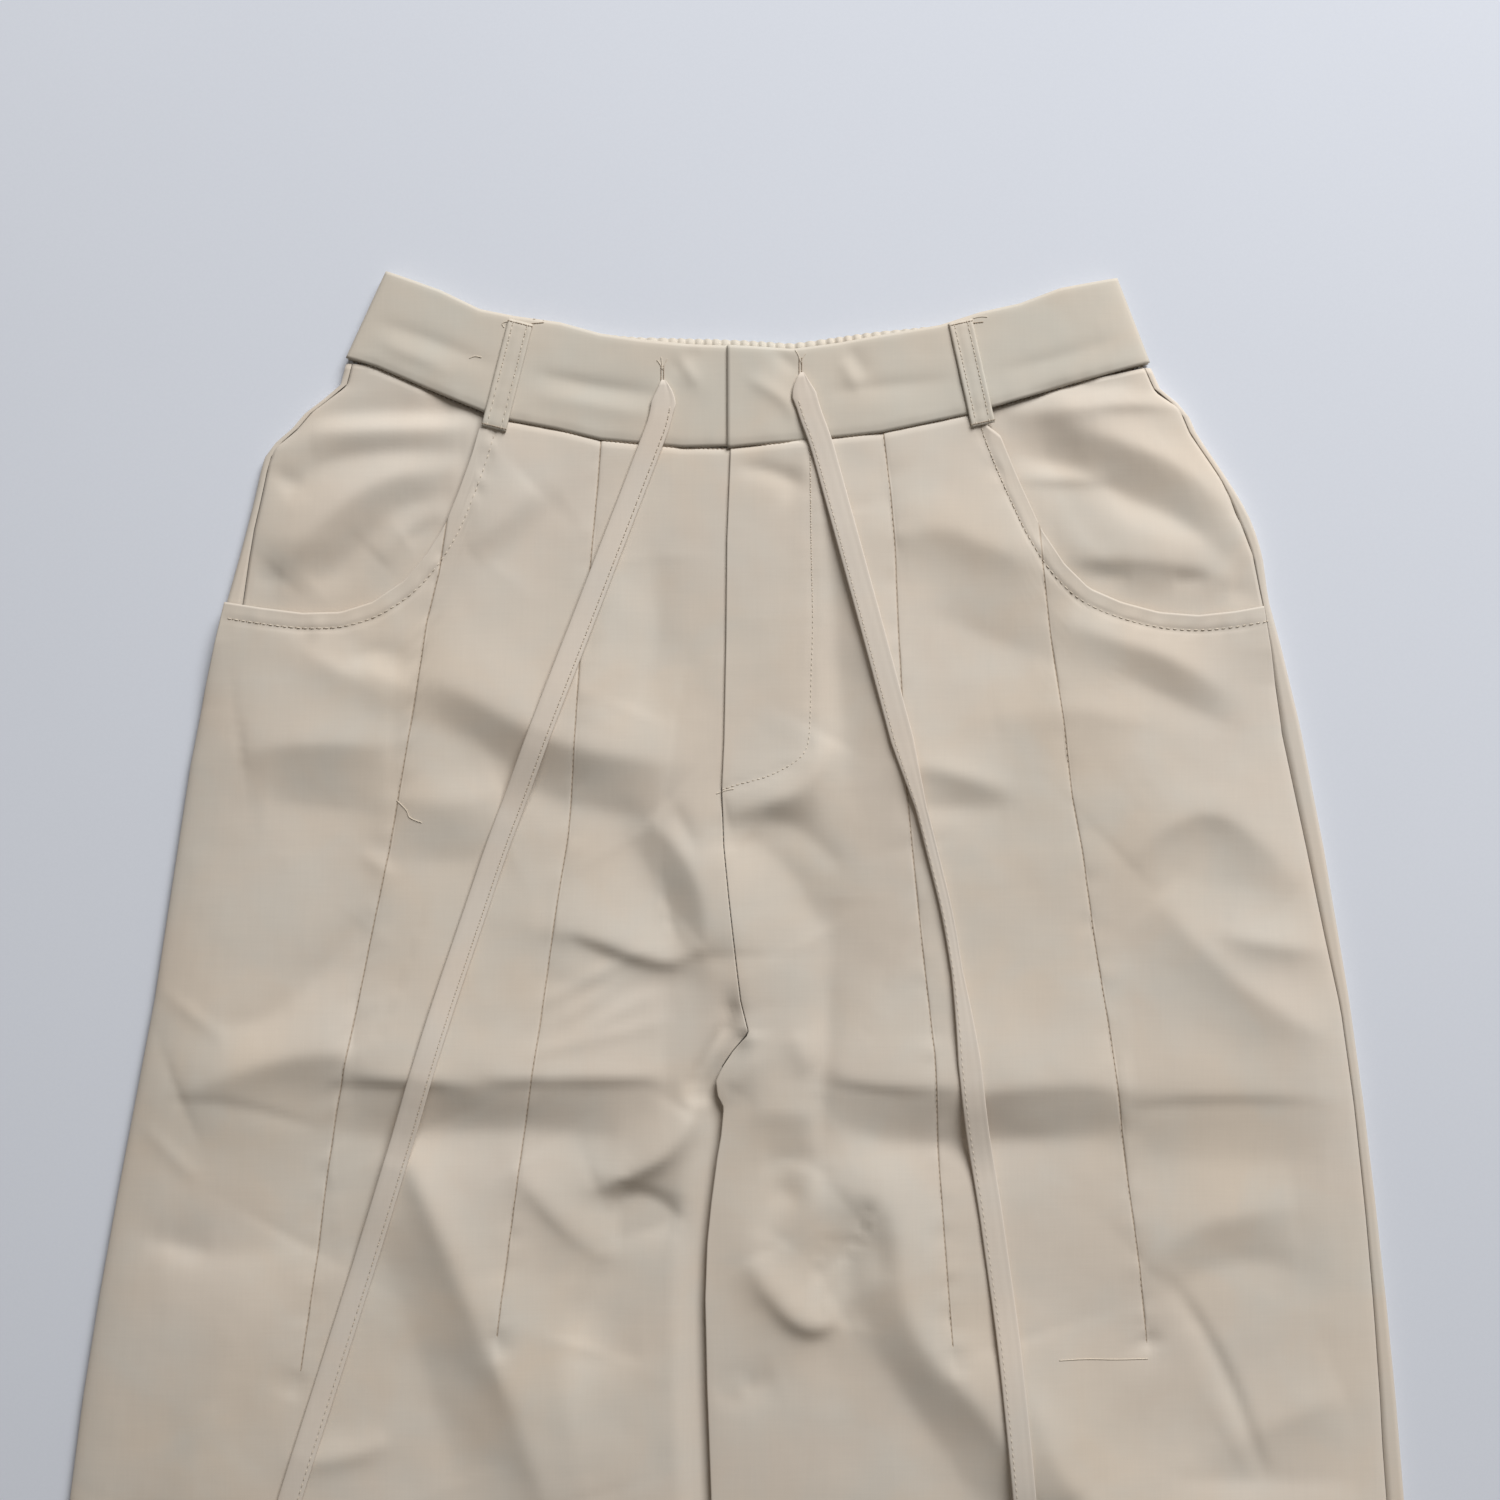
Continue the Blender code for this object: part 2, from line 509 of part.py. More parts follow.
def drawstring(name, path, tilts, height, look):
    """A flat tie, lofted from rings along its path, resting on what lies under it."""
    path = np.asarray(path, float)
    # a smooth line through the path's points
    steps = np.r_[0, np.cumsum(np.hypot(*np.diff(path, axis=0).T))]
    count = int(steps[-1] / 9) + 1
    at = np.linspace(0, steps[-1], count)
    fine = np.linspace(0, steps[-1], count * 8)
    kernel = np.ones(25) / 25
    smooth = []
    for axis in (0, 1):
        line_of = np.interp(fine, steps, path[:, axis])
        padded = np.r_[2 * line_of[0] - line_of[24:0:-1], line_of, 2 * line_of[-1] - line_of[-2:-26:-1]]
        smooth.append(np.interp(at, fine, np.convolve(padded, kernel, "same")[24:-24]))
    x, down = smooth
    tx, td = np.gradient(x), np.gradient(down)
    size = np.hypot(tx, td)
    tx, td = tx / size, td / size
    tilt = np.radians(value(tilts, down))
    width = TIE_WIDTH * np.interp(at, (0, 12), (0.5, 1))
    rest = np.zeros(count)
    for i in range(count):
        half = width[i] / 2 * math.cos(tilt[i]) + 1
        found = [height(x[i] + td[i] * half * s + tx[i] * a, down[i] - tx[i] * half * s + td[i] * a)
                 for s in (-1, -0.5, 0, 0.5, 1) for a in (-6, -3, 0, 3, 6)]
        rest[i] = max(found) + 0.35
    points = []
    for i in range(count):
        half, slope = width[i] / 2, tilt[i]
        middle = rest[i] + TIE_WALL / 2 * math.cos(slope) + half * abs(math.sin(slope))
        for u, w in ((-1, -1), (1, -1), (1, 1), (-1, 1)):
            flat = u * half * math.cos(slope) - w * TIE_WALL / 2 * math.sin(slope)
            up = u * half * math.sin(slope) + w * TIE_WALL / 2 * math.cos(slope)
            points.append((x[i] + td[i] * flat, down[i] - tx[i] * flat, middle + up))
    faces = []
    for i in range(count - 1):
        for k in range(4):
            a, b = i * 4 + k, i * 4 + (k + 1) % 4
            faces.append((a, b, b + 4, a + 4))
    faces.append((3, 2, 1, 0))
    last = (count - 1) * 4
    faces.append((last, last + 1, last + 2, last + 3))
    return add_object(name, points, faces, look)


clear()
GARMENT = bpy.data.collections.new("easy_trousers")
bpy.context.scene.collection.children.link(GARMENT)
CLOTH = material("cream_poplin", (0.56, 0.49, 0.39), 0.72, 0.25)
BAND = material("cream_poplin_band", (0.53, 0.47, 0.38), 0.74, 0.25)
TIE = material("cream_tape", (0.60, 0.52, 0.42), 0.7, 0.2)

SIDE_SHARES = (0, 0.013, 0.045, 0.1, 0.2, 0.33, 0.47, 0.6, 0.73, 0.87, 1)
MIDDLE_SHARES = (0, 0.2, 0.4, 0.6, 0.8, 1)
INNER_SHARES = (0, 0.17, 0.34, 0.5, 0.65, 0.77, 0.88, 1)
MIRRORED_SIDE = tuple(1 - s for s in SIDE_SHARES[::-1])
MIRRORED_INNER = (0, 0.015, 0.05, 0.11, 0.22, 0.36, 0.52, 0.68, 0.84, 1)

left_front = front(
    "front_left",
    (line(LEFT_OUTLINE), line(LEFT_OUTER_DART), line(LEFT_INNER_DART), line(LEFT_FRONT_EDGE)),
    (SIDE_SHARES, MIDDLE_SHARES, INNER_SHARES),
    LEFT_SCOOP[:-1] + tuple(lower_seam(-104, 200)),
    left_front_height, CLOTH,
)
right_front = front(
    "front_right",
    (line(RIGHT_FRONT_EDGE), line(RIGHT_INNER_DART), line(RIGHT_OUTER_DART), lambda down: seam_x(down) - GAP),
    (MIRRORED_INNER, MIDDLE_SHARES, MIRRORED_SIDE),
    tuple(lower_seam(-200, 105)) + RIGHT_SCOOP[1:],
    right_front_height, CLOTH,
)

# The hip pieces reach 12 mm under the pocket edges.
x, down = patch(
    top=[(left_seam_x(LEFT_TOP) + GAP, LEFT_TOP)] + lower_seam(-155, -97) + [(-93, 63.9)],
    right=[(-93, 63.9), (-99, 82), (-106, 100), (-114, 117), (-126, 133), (-138, 143)],
    bottom=[(-206.3, 151), (-181, 154.9), (-163, 154.4), (-148, 149.5), (-138, 143)],
    left=[(left_seam_x(d) + GAP, d) for d in LEFT_ROWS[:8]] + [(-206.3, 151)],
    across=11, deep=9,
)
left_yoke = slab(
    "pocket_yoke_left", x, down,
    yoke_height(x, down, LEFT_SCOOP, x - left_seam_x(down) - GAP), WALL, CLOTH,
)
x, down = patch(
    top=[(93.5, 61.2)] + lower_seam(95, 166) + [(seam_x(RIGHT_TOP) - GAP, RIGHT_TOP)],
    left=[(93.5, 61.2), (98, 73), (107, 94), (116, 113), (126, 128), (137, 140)],
    bottom=[(137, 140), (156, 149.5), (174, 154.5), (192, 155.8), (215, 153.2)],
    right=[(seam_x(d) - GAP, d) for d in RIGHT_ROWS[:8]] + [(seam_x(153) - GAP - 4, 153.2)],
    across=12, deep=9,
)
right_yoke = slab(
    "pocket_yoke_right", x, down,
    yoke_height(x, down, RIGHT_SCOOP, seam_x(down) - GAP - x), WALL, CLOTH,
)

back_seam = []
back_left = back(
    "back_left", LEFT_OUTLINE, LEFT_STRIP, LEFT_WRAP, LEFT_BACK_EDGE,
    line(LEFT_BACK_EDGE, -8), line(LEFT_BACK_EDGE, -24), 1, LEFT_TOP, back_seam, CLOTH,
)
back_right = back(
    "back_right", RIGHT_OUTLINE, RIGHT_STRIP, ((30, 1), (1010, 1)), RIGHT_BACK_EDGE,
    lambda down: np.maximum(value(RIGHT_BACK_EDGE, down) + 2.5, -0.8),
    lambda down: np.maximum(value(RIGHT_BACK_EDGE, down) + 12, 8.0), -1, RIGHT_TOP, back_seam, CLOTH,
)

# The front band's halves. The right one laps over the left at the fly.
top_left = [(x, d) for x, d in WAIST_TOP if x < -5] + [(6, 31.9)]
seam_left = [(x, d - GAP / 2) for x, d in WAIST_SEAM if x < -5] + [(6, 73.2)]
x, down = patch(top_left, seam_left, [top_left[0], seam_left[0]], [top_left[-1], seam_left[-1]], 24, 5)
top = band_height(x, down)
left_band = slab("waistband_front_left", x, down, top, BAND_WALL, BAND)
top_right = [(-4, 31.3)] + [(x, d) for x, d in WAIST_TOP if x > 0]
seam_right = [(-4, 74.2)] + [(x, d - GAP / 2) for x, d in WAIST_SEAM if x > 0]
x, down = patch(top_right, seam_right, [top_right[0], seam_right[0]], [top_right[-1], seam_right[-1]], 24, 5)
top = band_height(x, down) + 2.2 * ease((30 - x) / 14)
right_band = slab("waistband_front_right", x, down, top, BAND_WALL, BAND)

# The elastic back band, gathered into upright pleats, a little higher than the front one.
top_back = [(x, d - np.interp(x, (-60, -20, 50, 90), (0, 3, 3, 0))) for x, d in WAIST_TOP]
seam_back = [(-163.4, 36.2)] + [(x, d - GAP) for x, d in sorted(back_seam)] + [(172.5, 38.2)]
x, down = patch(top_back, seam_back, [top_back[0], seam_back[0]], [top_back[-1], seam_back[-1]], 2 * GATHERS + 1, 3)
wave = (np.arange(2 * GATHERS + 1) % 2)[None, :] * GATHER_DEPTH * np.array([1, 0.85, 0.3])[:, None]
wave *= 0.75 + 0.25 * np.sin(np.arange(2 * GATHERS + 1) * 0.9)[None, :]
back_band = slab("waistband_back", x, down, BACK_WALL + wave, BACK_WALL, BAND)

on_band = surface_finder([left_band, right_band, left_front, right_front, left_yoke, right_yoke])
belt_left = belt_loop("belt_loop_left", (-90, 21.6), (-101.3, 66.3), 10.4, on_band, BAND)
belt_right = belt_loop("belt_loop_right", (92.9, 21.4), (102.5, 64.6), 10.0, on_band, BAND)

drawstring(
    "drawstring_left",
    ((-30.8, 46), (-29.4, 56), (-65.4, 150), (-100.4, 241.7), (-121.3, 304.2),
     (-146.7, 387.5), (-186.3, 512.5), (-209.5, 588)),
    ((40, 0), (1010, 0)), on_band, TIE,
)
drawstring(
    "drawstring_right",
    ((27.1, 43), (27.2, 54), (33.3, 66), (56.3, 150), (69.6, 200), (77.5, 227.9),
     (87.9, 269.2), (94.2, 309.6), (98.8, 352.1), (104.6, 385.9), (112.1, 440.5),
     (119.2, 512.5), (127.6, 600)),
    ((40, 0), (190, 0), (225, 62), (285, 62), (325, 0), (1010, 0)), on_band, TIE,
)
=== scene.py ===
# %% [markdown]
# # Easy trousers, laid flat
# Wide cotton trousers with a drawstring waist lie on a pale table and are seen from straight above.
# A plain model of them is loaded first, as a fixed frame. Every piece of cloth is then made again in
# the same place, much finer, with its seams, puckers, creases, stitches and weave.
# Lengths are in millimetres until a mesh is made. A place on the garment is (x, down): x runs to the
# viewer's right, and down is the distance below the highest corner of the waist.

import math

import bpy
import numpy as np
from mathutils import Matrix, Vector
from mathutils.bvhtree import BVHTree


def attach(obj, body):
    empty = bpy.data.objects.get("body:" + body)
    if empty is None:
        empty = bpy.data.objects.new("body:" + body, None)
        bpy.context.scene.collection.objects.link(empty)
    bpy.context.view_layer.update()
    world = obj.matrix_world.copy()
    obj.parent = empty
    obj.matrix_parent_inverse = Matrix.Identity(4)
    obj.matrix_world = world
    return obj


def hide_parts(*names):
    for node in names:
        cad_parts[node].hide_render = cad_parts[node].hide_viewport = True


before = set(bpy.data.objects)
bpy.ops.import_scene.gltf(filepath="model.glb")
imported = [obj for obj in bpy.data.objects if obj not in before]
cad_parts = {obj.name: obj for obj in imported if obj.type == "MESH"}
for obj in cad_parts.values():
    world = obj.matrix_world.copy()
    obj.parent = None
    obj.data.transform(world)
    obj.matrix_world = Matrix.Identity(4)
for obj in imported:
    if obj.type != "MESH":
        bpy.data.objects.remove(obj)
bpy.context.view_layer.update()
for name in ("Cube", "Light", "Camera"):
    if name in bpy.data.objects:
        bpy.data.objects.remove(bpy.data.objects[name], do_unlink=True)
print("frame loaded:", len(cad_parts), "nodes")

# %% [markdown]
# The camera hangs over the upper half of the trousers and looks straight down, so the legs run out of
# the bottom of the picture. A camera object with no rotation already looks down, with +Y at the top,
# so it only needs a place. Its height follows from the lens and the width that it has to see.

# %% Camera
MM = 0.001
LENGTH = 1010.0             # waist corner to hem
VIEW_CENTRE = (5.4, 200.0)  # the middle of the picture
VIEW_WIDTH = 625.0
LENS = 50.0
SENSOR = 36.0


def place(x, down, height):
    """A point of the scene, in metres."""
    return (x * MM, (LENGTH / 2 - down) * MM, height * MM)


lens = bpy.data.cameras.new("camera_above")
lens.lens = LENS
lens.sensor_width = SENSOR
camera = bpy.data.objects.new("camera_above", lens)
camera.location = place(*VIEW_CENTRE, VIEW_WIDTH * LENS / SENSOR + 7)
bpy.context.scene.collection.objects.link(camera)
bpy.context.scene.camera = camera
print("camera height:", round(camera.location.z, 3), "m")

# %% [markdown]
# Soft daylight comes from a large window beyond the waist, a little to the right, and the room fills
# the shadows with a warm, even light. One area light and a plain world background do the same. A low
# lamp makes folds read clearly, because each slope then takes a different share of the light.

# %% Light
WINDOW_FROM = (0.42, 0.91)  # the window's direction from the garment, as x and y
WINDOW_HEIGHT = 34.0        # degrees over the table
WINDOW_AWAY = 3.2           # metres
WINDOW_SIZE = 2.0
WINDOW_POWER = 126.0
WINDOW_COLOUR = (0.98, 0.985, 1.0)
ROOM_COLOUR = (1.0, 0.93, 0.85)
ROOM_STRENGTH = 0.165

lamp = bpy.data.lights.new("window", "AREA")
lamp.shape = "DISK"
lamp.size = WINDOW_SIZE
lamp.energy = WINDOW_POWER
lamp.color = WINDOW_COLOUR
window = bpy.data.objects.new("window", lamp)
aim = Vector(place(*VIEW_CENTRE, 0))
rise = math.radians(WINDOW_HEIGHT)
away = Vector((WINDOW_FROM[0] * math.cos(rise), WINDOW_FROM[1] * math.cos(rise), math.sin(rise)))
window.location = aim + WINDOW_AWAY * away
window.rotation_mode = "QUATERNION"
window.rotation_quaternion = away.to_track_quat("Z", "Y")
bpy.context.scene.collection.objects.link(window)

room = bpy.data.worlds.new("room")
room.use_nodes = True
room.node_tree.nodes["Background"].inputs["Color"].default_value = (*ROOM_COLOUR, 1)
room.node_tree.nodes["Background"].inputs["Strength"].default_value = ROOM_STRENGTH
bpy.context.scene.world = room
bpy.context.scene.view_settings.view_transform = "Standard"
print("window at", [round(v, 2) for v in window.location])

# %% [markdown]
# A shader is built from nodes. This small helper adds a node, sets its options and links its inputs,
# so that each material below reads as a short list of steps.

# %% A helper for shader nodes
def node(tree, kind, links=None, **options):
    """Adds a node. links gives an input's name or number, and the socket or value that goes in."""
    made = tree.nodes.new(kind)
    for option, setting in options.items():
        setattr(made, option, setting)
    for key, source in (links or {}).items():
        socket = made.inputs[key]
        if isinstance(source, bpy.types.NodeSocket):
            tree.links.new(source, socket)
        else:
            socket.default_value = source
    return made


def new_material(name):
    made = bpy.data.materials.new(name)
    made.use_nodes = True
    return made, made.node_tree, made.node_tree.nodes["Principled BSDF"]


print("node helper ready")

# %% [markdown]
# The table is a plain pale board. Even a plain surface has a little unevenness, so a faint noise
# changes its colour and its roughness.

# %% Table top
BOARD_DARK = (0.71, 0.745, 0.815, 1)
BOARD_PALE = (0.74, 0.775, 0.845, 1)
BOARD_HALF = 3.0            # metres from its middle to each edge
BOARD_LEVEL = -0.0003       # metres: just below the cloth, so that the two don't touch

table_look, tree, shader = new_material("pale_board")
spot = node(tree, "ShaderNodeTexCoord").outputs["Object"]
cloudy = node(tree, "ShaderNodeTexNoise", {"Vector": spot, "Scale": 3.0, "Detail": 3.0})
grain = node(tree, "ShaderNodeTexNoise", {"Vector": spot, "Scale": 900.0, "Detail": 2.0})
both = node(tree, "ShaderNodeMix", {0: 0.35, 2: cloudy.outputs["Fac"], 3: grain.outputs["Fac"]})
tone = node(tree, "ShaderNodeMapRange", {"Value": both.outputs[0], "From Min": 0.3, "From Max": 0.7,
                                         "To Min": 0.0, "To Max": 1.0})
tint = node(tree, "ShaderNodeMix", {0: tone.outputs[0], 6: BOARD_DARK, 7: BOARD_PALE}, data_type="RGBA")
tree.links.new(tint.outputs[2], shader.inputs["Base Color"])
shader.inputs["Roughness"].default_value = 0.85
shader.inputs["Specular IOR Level"].default_value = 0.2
corners = [(x * BOARD_HALF, y * BOARD_HALF, BOARD_LEVEL) for x, y in ((-1, -1), (1, -1), (1, 1), (-1, 1))]
board = bpy.data.meshes.new("table_top")
board.from_pydata(corners, [], [(0, 1, 2, 3)])
board.materials.append(table_look)
table = bpy.data.objects.new("table_top", board)
bpy.context.scene.collection.objects.link(table)
print("table top:", 2 * BOARD_HALF, "m")

# %% [markdown]
# The trousers are drawn from tables of points, read off the garment as a pattern cutter would: the
# outline, the waist, the pocket edges, the long sewn darts and the centre seam. Each table has two
# named columns, and a straight line joins one row to the next.

# %% The garment's lines
WALL = 0.7            # the cloth, as a thin shell
BAND_WALL = 0.9       # the waistband is folded double
GAP = 0.3             # between pieces that are sewn to each other
TUCK = 0.5            # how far the upper edges go in under the waistband
LOFT = 7.0            # how high the upper cloth lies over the table
ROLL = 2.2            # radius of the back where it turns round the side
STRIP_TOP = 2 * ROLL  # height of the strip of the back that shows beside the front
LOW_EDGE = 3.0        # an edge of the front that rests on the back
UNDER_LEG = 2.9       # the left leg's inner edge, flat under the right leg
LEG_LIFT = 3.3        # the right back, where it lies on the left leg
LEG_EDGE = 6.4        # the right leg's free edge, on the left leg
FLY_LIFT = 1.0        # the right front, where it laps over the left at the fly
BLEND_LEVEL = 240.0   # rows above this bend to follow the top edge

# down, x
LEFT_OUTLINE = (
    (36.3, -163.4), (47.9, -166.3), (58.8, -180.8), (66.7, -187.5), (73.8, -196.3),
    (80, -198.8), (91.7, -201.3), (105, -204.6), (120.8, -208.8), (139.6, -214.2),
    (172.9, -222.1), (206.3, -228.8), (241.7, -234.2), (304.2, -243.8), (345.8, -251.7),
    (387.5, -259.6), (429.2, -267.1), (470.9, -273.8), (512.5, -279.2), (560, -282),
    (620, -281), (700, -277), (850, -268), (1010, -258),
)
RIGHT_OUTLINE = (
    (38.3, 172.5), (50.4, 177.9), (57.1, 187.9), (67.9, 192.5), (82.5, 202.5),
    (94.6, 210.4), (105, 215.8), (118.3, 220), (137.1, 222.5), (157.1, 227.9),
    (190, 235.8), (241.7, 245.8), (304.2, 256.3), (345.8, 262.1), (387.5, 267.1),
    (429.2, 271.7), (470.9, 275.8), (512.5, 279.2), (560, 282), (620, 281),
    (700, 277), (850, 268), (1010, 258),
)
# down, width of the back that shows inside the outline
LEFT_STRIP = ((36, 0.8), (89, 0.8), (108, 1.2), (121, 2.5), (138, 5), (160, 5), (1010, 5))
RIGHT_STRIP = (
    (38, 0.8), (87, 0.8), (102, 3.2), (117, 2.2), (138, 0.8), (153, 2.4), (193, 6.3),
    (242, 5.3), (276, 4), (311, 2.2), (352, 2.2), (397, 2.8), (440, 3.8), (492, 5.3),
    (560, 5.8), (1010, 5.8),
)
# down, share of the full turn of the left back round the side
LEFT_WRAP = ((36, 1), (150, 1), (168, 0), (1010, 0))
# down, height of the left front's outer edge
LEFT_EDGE_HEIGHT = ((130, 6.3), (155, 6.3), (168, 4.8), (182, 3.4), (196, LOW_EDGE), (1010, LOW_EDGE))
RIGHT_EDGE_HEIGHT = ((130, 6.3), (158, 6.3), (173, STRIP_TOP), (1010, STRIP_TOP))
# x, down
WAIST_TOP = (
    (-146.7, 0), (-123.8, 8.3), (-107.1, 16.3), (-92.5, 19.2), (-73.8, 21.7),
    (-57.1, 26.3), (-40.4, 28.8), (-20.8, 30.8), (-4.2, 31.3), (23.3, 32.9),
    (41.7, 30.4), (59.6, 27.1), (84.6, 22.9), (101.3, 17.5), (117.9, 13.8),
    (134.6, 7.5), (158.8, 2.9),
)
WAIST_SEAM = (
    (-163.4, 36.3), (-150.4, 40.4), (-129.2, 49.6), (-105.8, 59.2), (-94.6, 62.9),
    (-75.8, 66.3), (-57.1, 70.8), (-22.9, 74), (-2.9, 74.3), (5.4, 73.4),
    (27.5, 71.3), (60, 67.9), (97.1, 60), (107.1, 57.1), (138.3, 47.9), (172.5, 38.3),
)
LEFT_SCOOP = (
    (-213.4, 138.3), (-197.9, 140.8), (-180.8, 142.9), (-165, 142.5), (-151.7, 138.3),
    (-138.3, 129.2), (-129.2, 118.3), (-121.7, 106.3), (-116.3, 93.3), (-110.4, 77.1),
    (-107.1, 65.4), (-105, 59.6),
)
RIGHT_SCOOP = (
    (106.5, 57.6), (109.6, 68.8), (117.5, 87.9), (126.7, 107.9), (136.3, 122.5),
    (146.7, 132.5), (160, 138.3), (175.8, 142.5), (192.1, 143.8), (207.9, 142.1),
    (223.5, 139.2),
)
# down, x of the long sewn darts; below its end each line only guides the grid
LEFT_OUTER_DART = (
    (60, -116), (98.3, -120), (126.3, -124.2), (146.3, -129.2), (172.9, -132.9),
    (203.3, -138.3), (241.7, -145), (281.3, -153.3), (321.3, -160.8), (352.1, -167.1),
    (380, -171.3), (414.6, -175.4), (459.2, -181.7), (600, -190), (1010, -180),
)
LEFT_INNER_DART = (
    (60, -56), (86.7, -57.9), (125, -61.3), (161.7, -65.4), (197.1, -67.5),
    (235.4, -70.4), (264.2, -75), (287.9, -78.3), (315.9, -82.1), (362.5, -89.2),
    (422.9, -97.1), (443.8, -99.6), (600, -108), (1010, -100),
)
RIGHT_INNER_DART = (
    (60, 60), (92.1, 63.8), (116.3, 65.8), (150, 67.1), (218.8, 70.8), (253.3, 74.2),
    (285, 77.5), (326.3, 82.1), (372.9, 84.2), (415, 87.1), (448.4, 89.6),
    (600, 96), (1010, 94),
)
RIGHT_OUTER_DART = (
    (60, 122), (105.4, 125.8), (123.8, 127.5), (152.9, 130.8), (190, 136.3),
    (219.2, 139.6), (241.7, 143.8), (281.3, 149.2), (319.6, 155.4), (352.1, 159.6),
    (380, 162.9), (414.6, 167.5), (447.1, 170.8), (600, 178), (1010, 172),
)
# down, x of the right front's left edge: the fly, the centre seam, then the leg's free edge
RIGHT_FRONT_EDGE = (
    (70, -2.5), (112.5, -4.2), (154.2, -4.6), (195.8, -5.4), (215.8, -6.3), (240, -5.4),
    (261.3, -3.3), (287.5, -0.4), (305, 1.7), (317.9, 5), (325, -1.3), (332.5, -6.3),
    (338, -8.8), (344, -8.2), (349, -5.6), (361, -6.7), (370, -8.3), (389, -10.8),
    (406, -12.5), (429, -13.3), (466, -12.5), (512, -10.8), (560, -8.5), (600, -5),
    (650, 1), (700, 6), (850, 12), (1010, 16),
)
# down, x of the left front's right edge, under the fly and under the right leg
LEFT_FRONT_EDGE = (
    (70, 5), (190, 3), (205, 0), (212, -4.4), (215.8, -6.6), (240, -5.7), (261.3, -3.6),
    (287.5, -0.7), (305, 1.4), (317.9, 4.7), (325, -1.6), (332.5, -6.6), (345, -6.6),
    (352, -4.6), (600, -5.2), (650, -7.5), (700, -10), (850, -17), (1010, -22),
)
# down, x of the two back pieces' edges at the centre seam and the inside leg
LEFT_BACK_EDGE = ((30, -4.3), (600, -4.6), (650, -7.5), (700, -10), (850, -17), (1010, -22))
RIGHT_BACK_EDGE = (
    (30, -3.6), (345, -3.6), (352, -4), (361, -5), (370, -6.6), (389, -9.2),
    (406, -10.9), (429, -11.7), (466, -10.9), (512, -9.2), (560, -6.9), (600, -3.5),
    (650, 2.4), (700, 7.4), (850, 13.4), (1010, 17.4),
)
# down, share of LEG_LIFT
BACK_LIFT = ((318, 0), (330, 1), (612, 1), (650, 0), (1010, 0))
# down, height of the left front beside the right leg, and of the right leg's edge
LEFT_INNER_HEIGHT = (
    (318, 7), (325, 6.6), (332, 5.4), (338, 4.4), (345, 3.3), (352, UNDER_LEG), (1010, UNDER_LEG),
)
RIGHT_INNER_HEIGHT = (
    (318, 7.4), (332, 7.2), (345, LEG_EDGE), (612, LEG_EDGE), (660, LOW_EDGE), (1010, LOW_EDGE),
)

# x, down: the curved topstitching beside the fly
FLY_STITCH = (
    (30.4, 76), (30.8, 115.4), (31.7, 147.5), (30.8, 168.8), (30.4, 192.1), (28.8, 200.8),
    (23.3, 205.8), (12.5, 211.3), (2.1, 213.8), (-5.8, 216.3),
)
print("outline rows:", len(LEFT_OUTLINE) + len(RIGHT_OUTLINE))

# %% [markdown]
# Cloth that has been worn, washed and laid down keeps soft folds. Each one is a line on the garment
# with a height and two widths, because a fold is steeper on one side. A path runs to the right or
# down, and its steep side is below it or to its left. Broad folds come first.

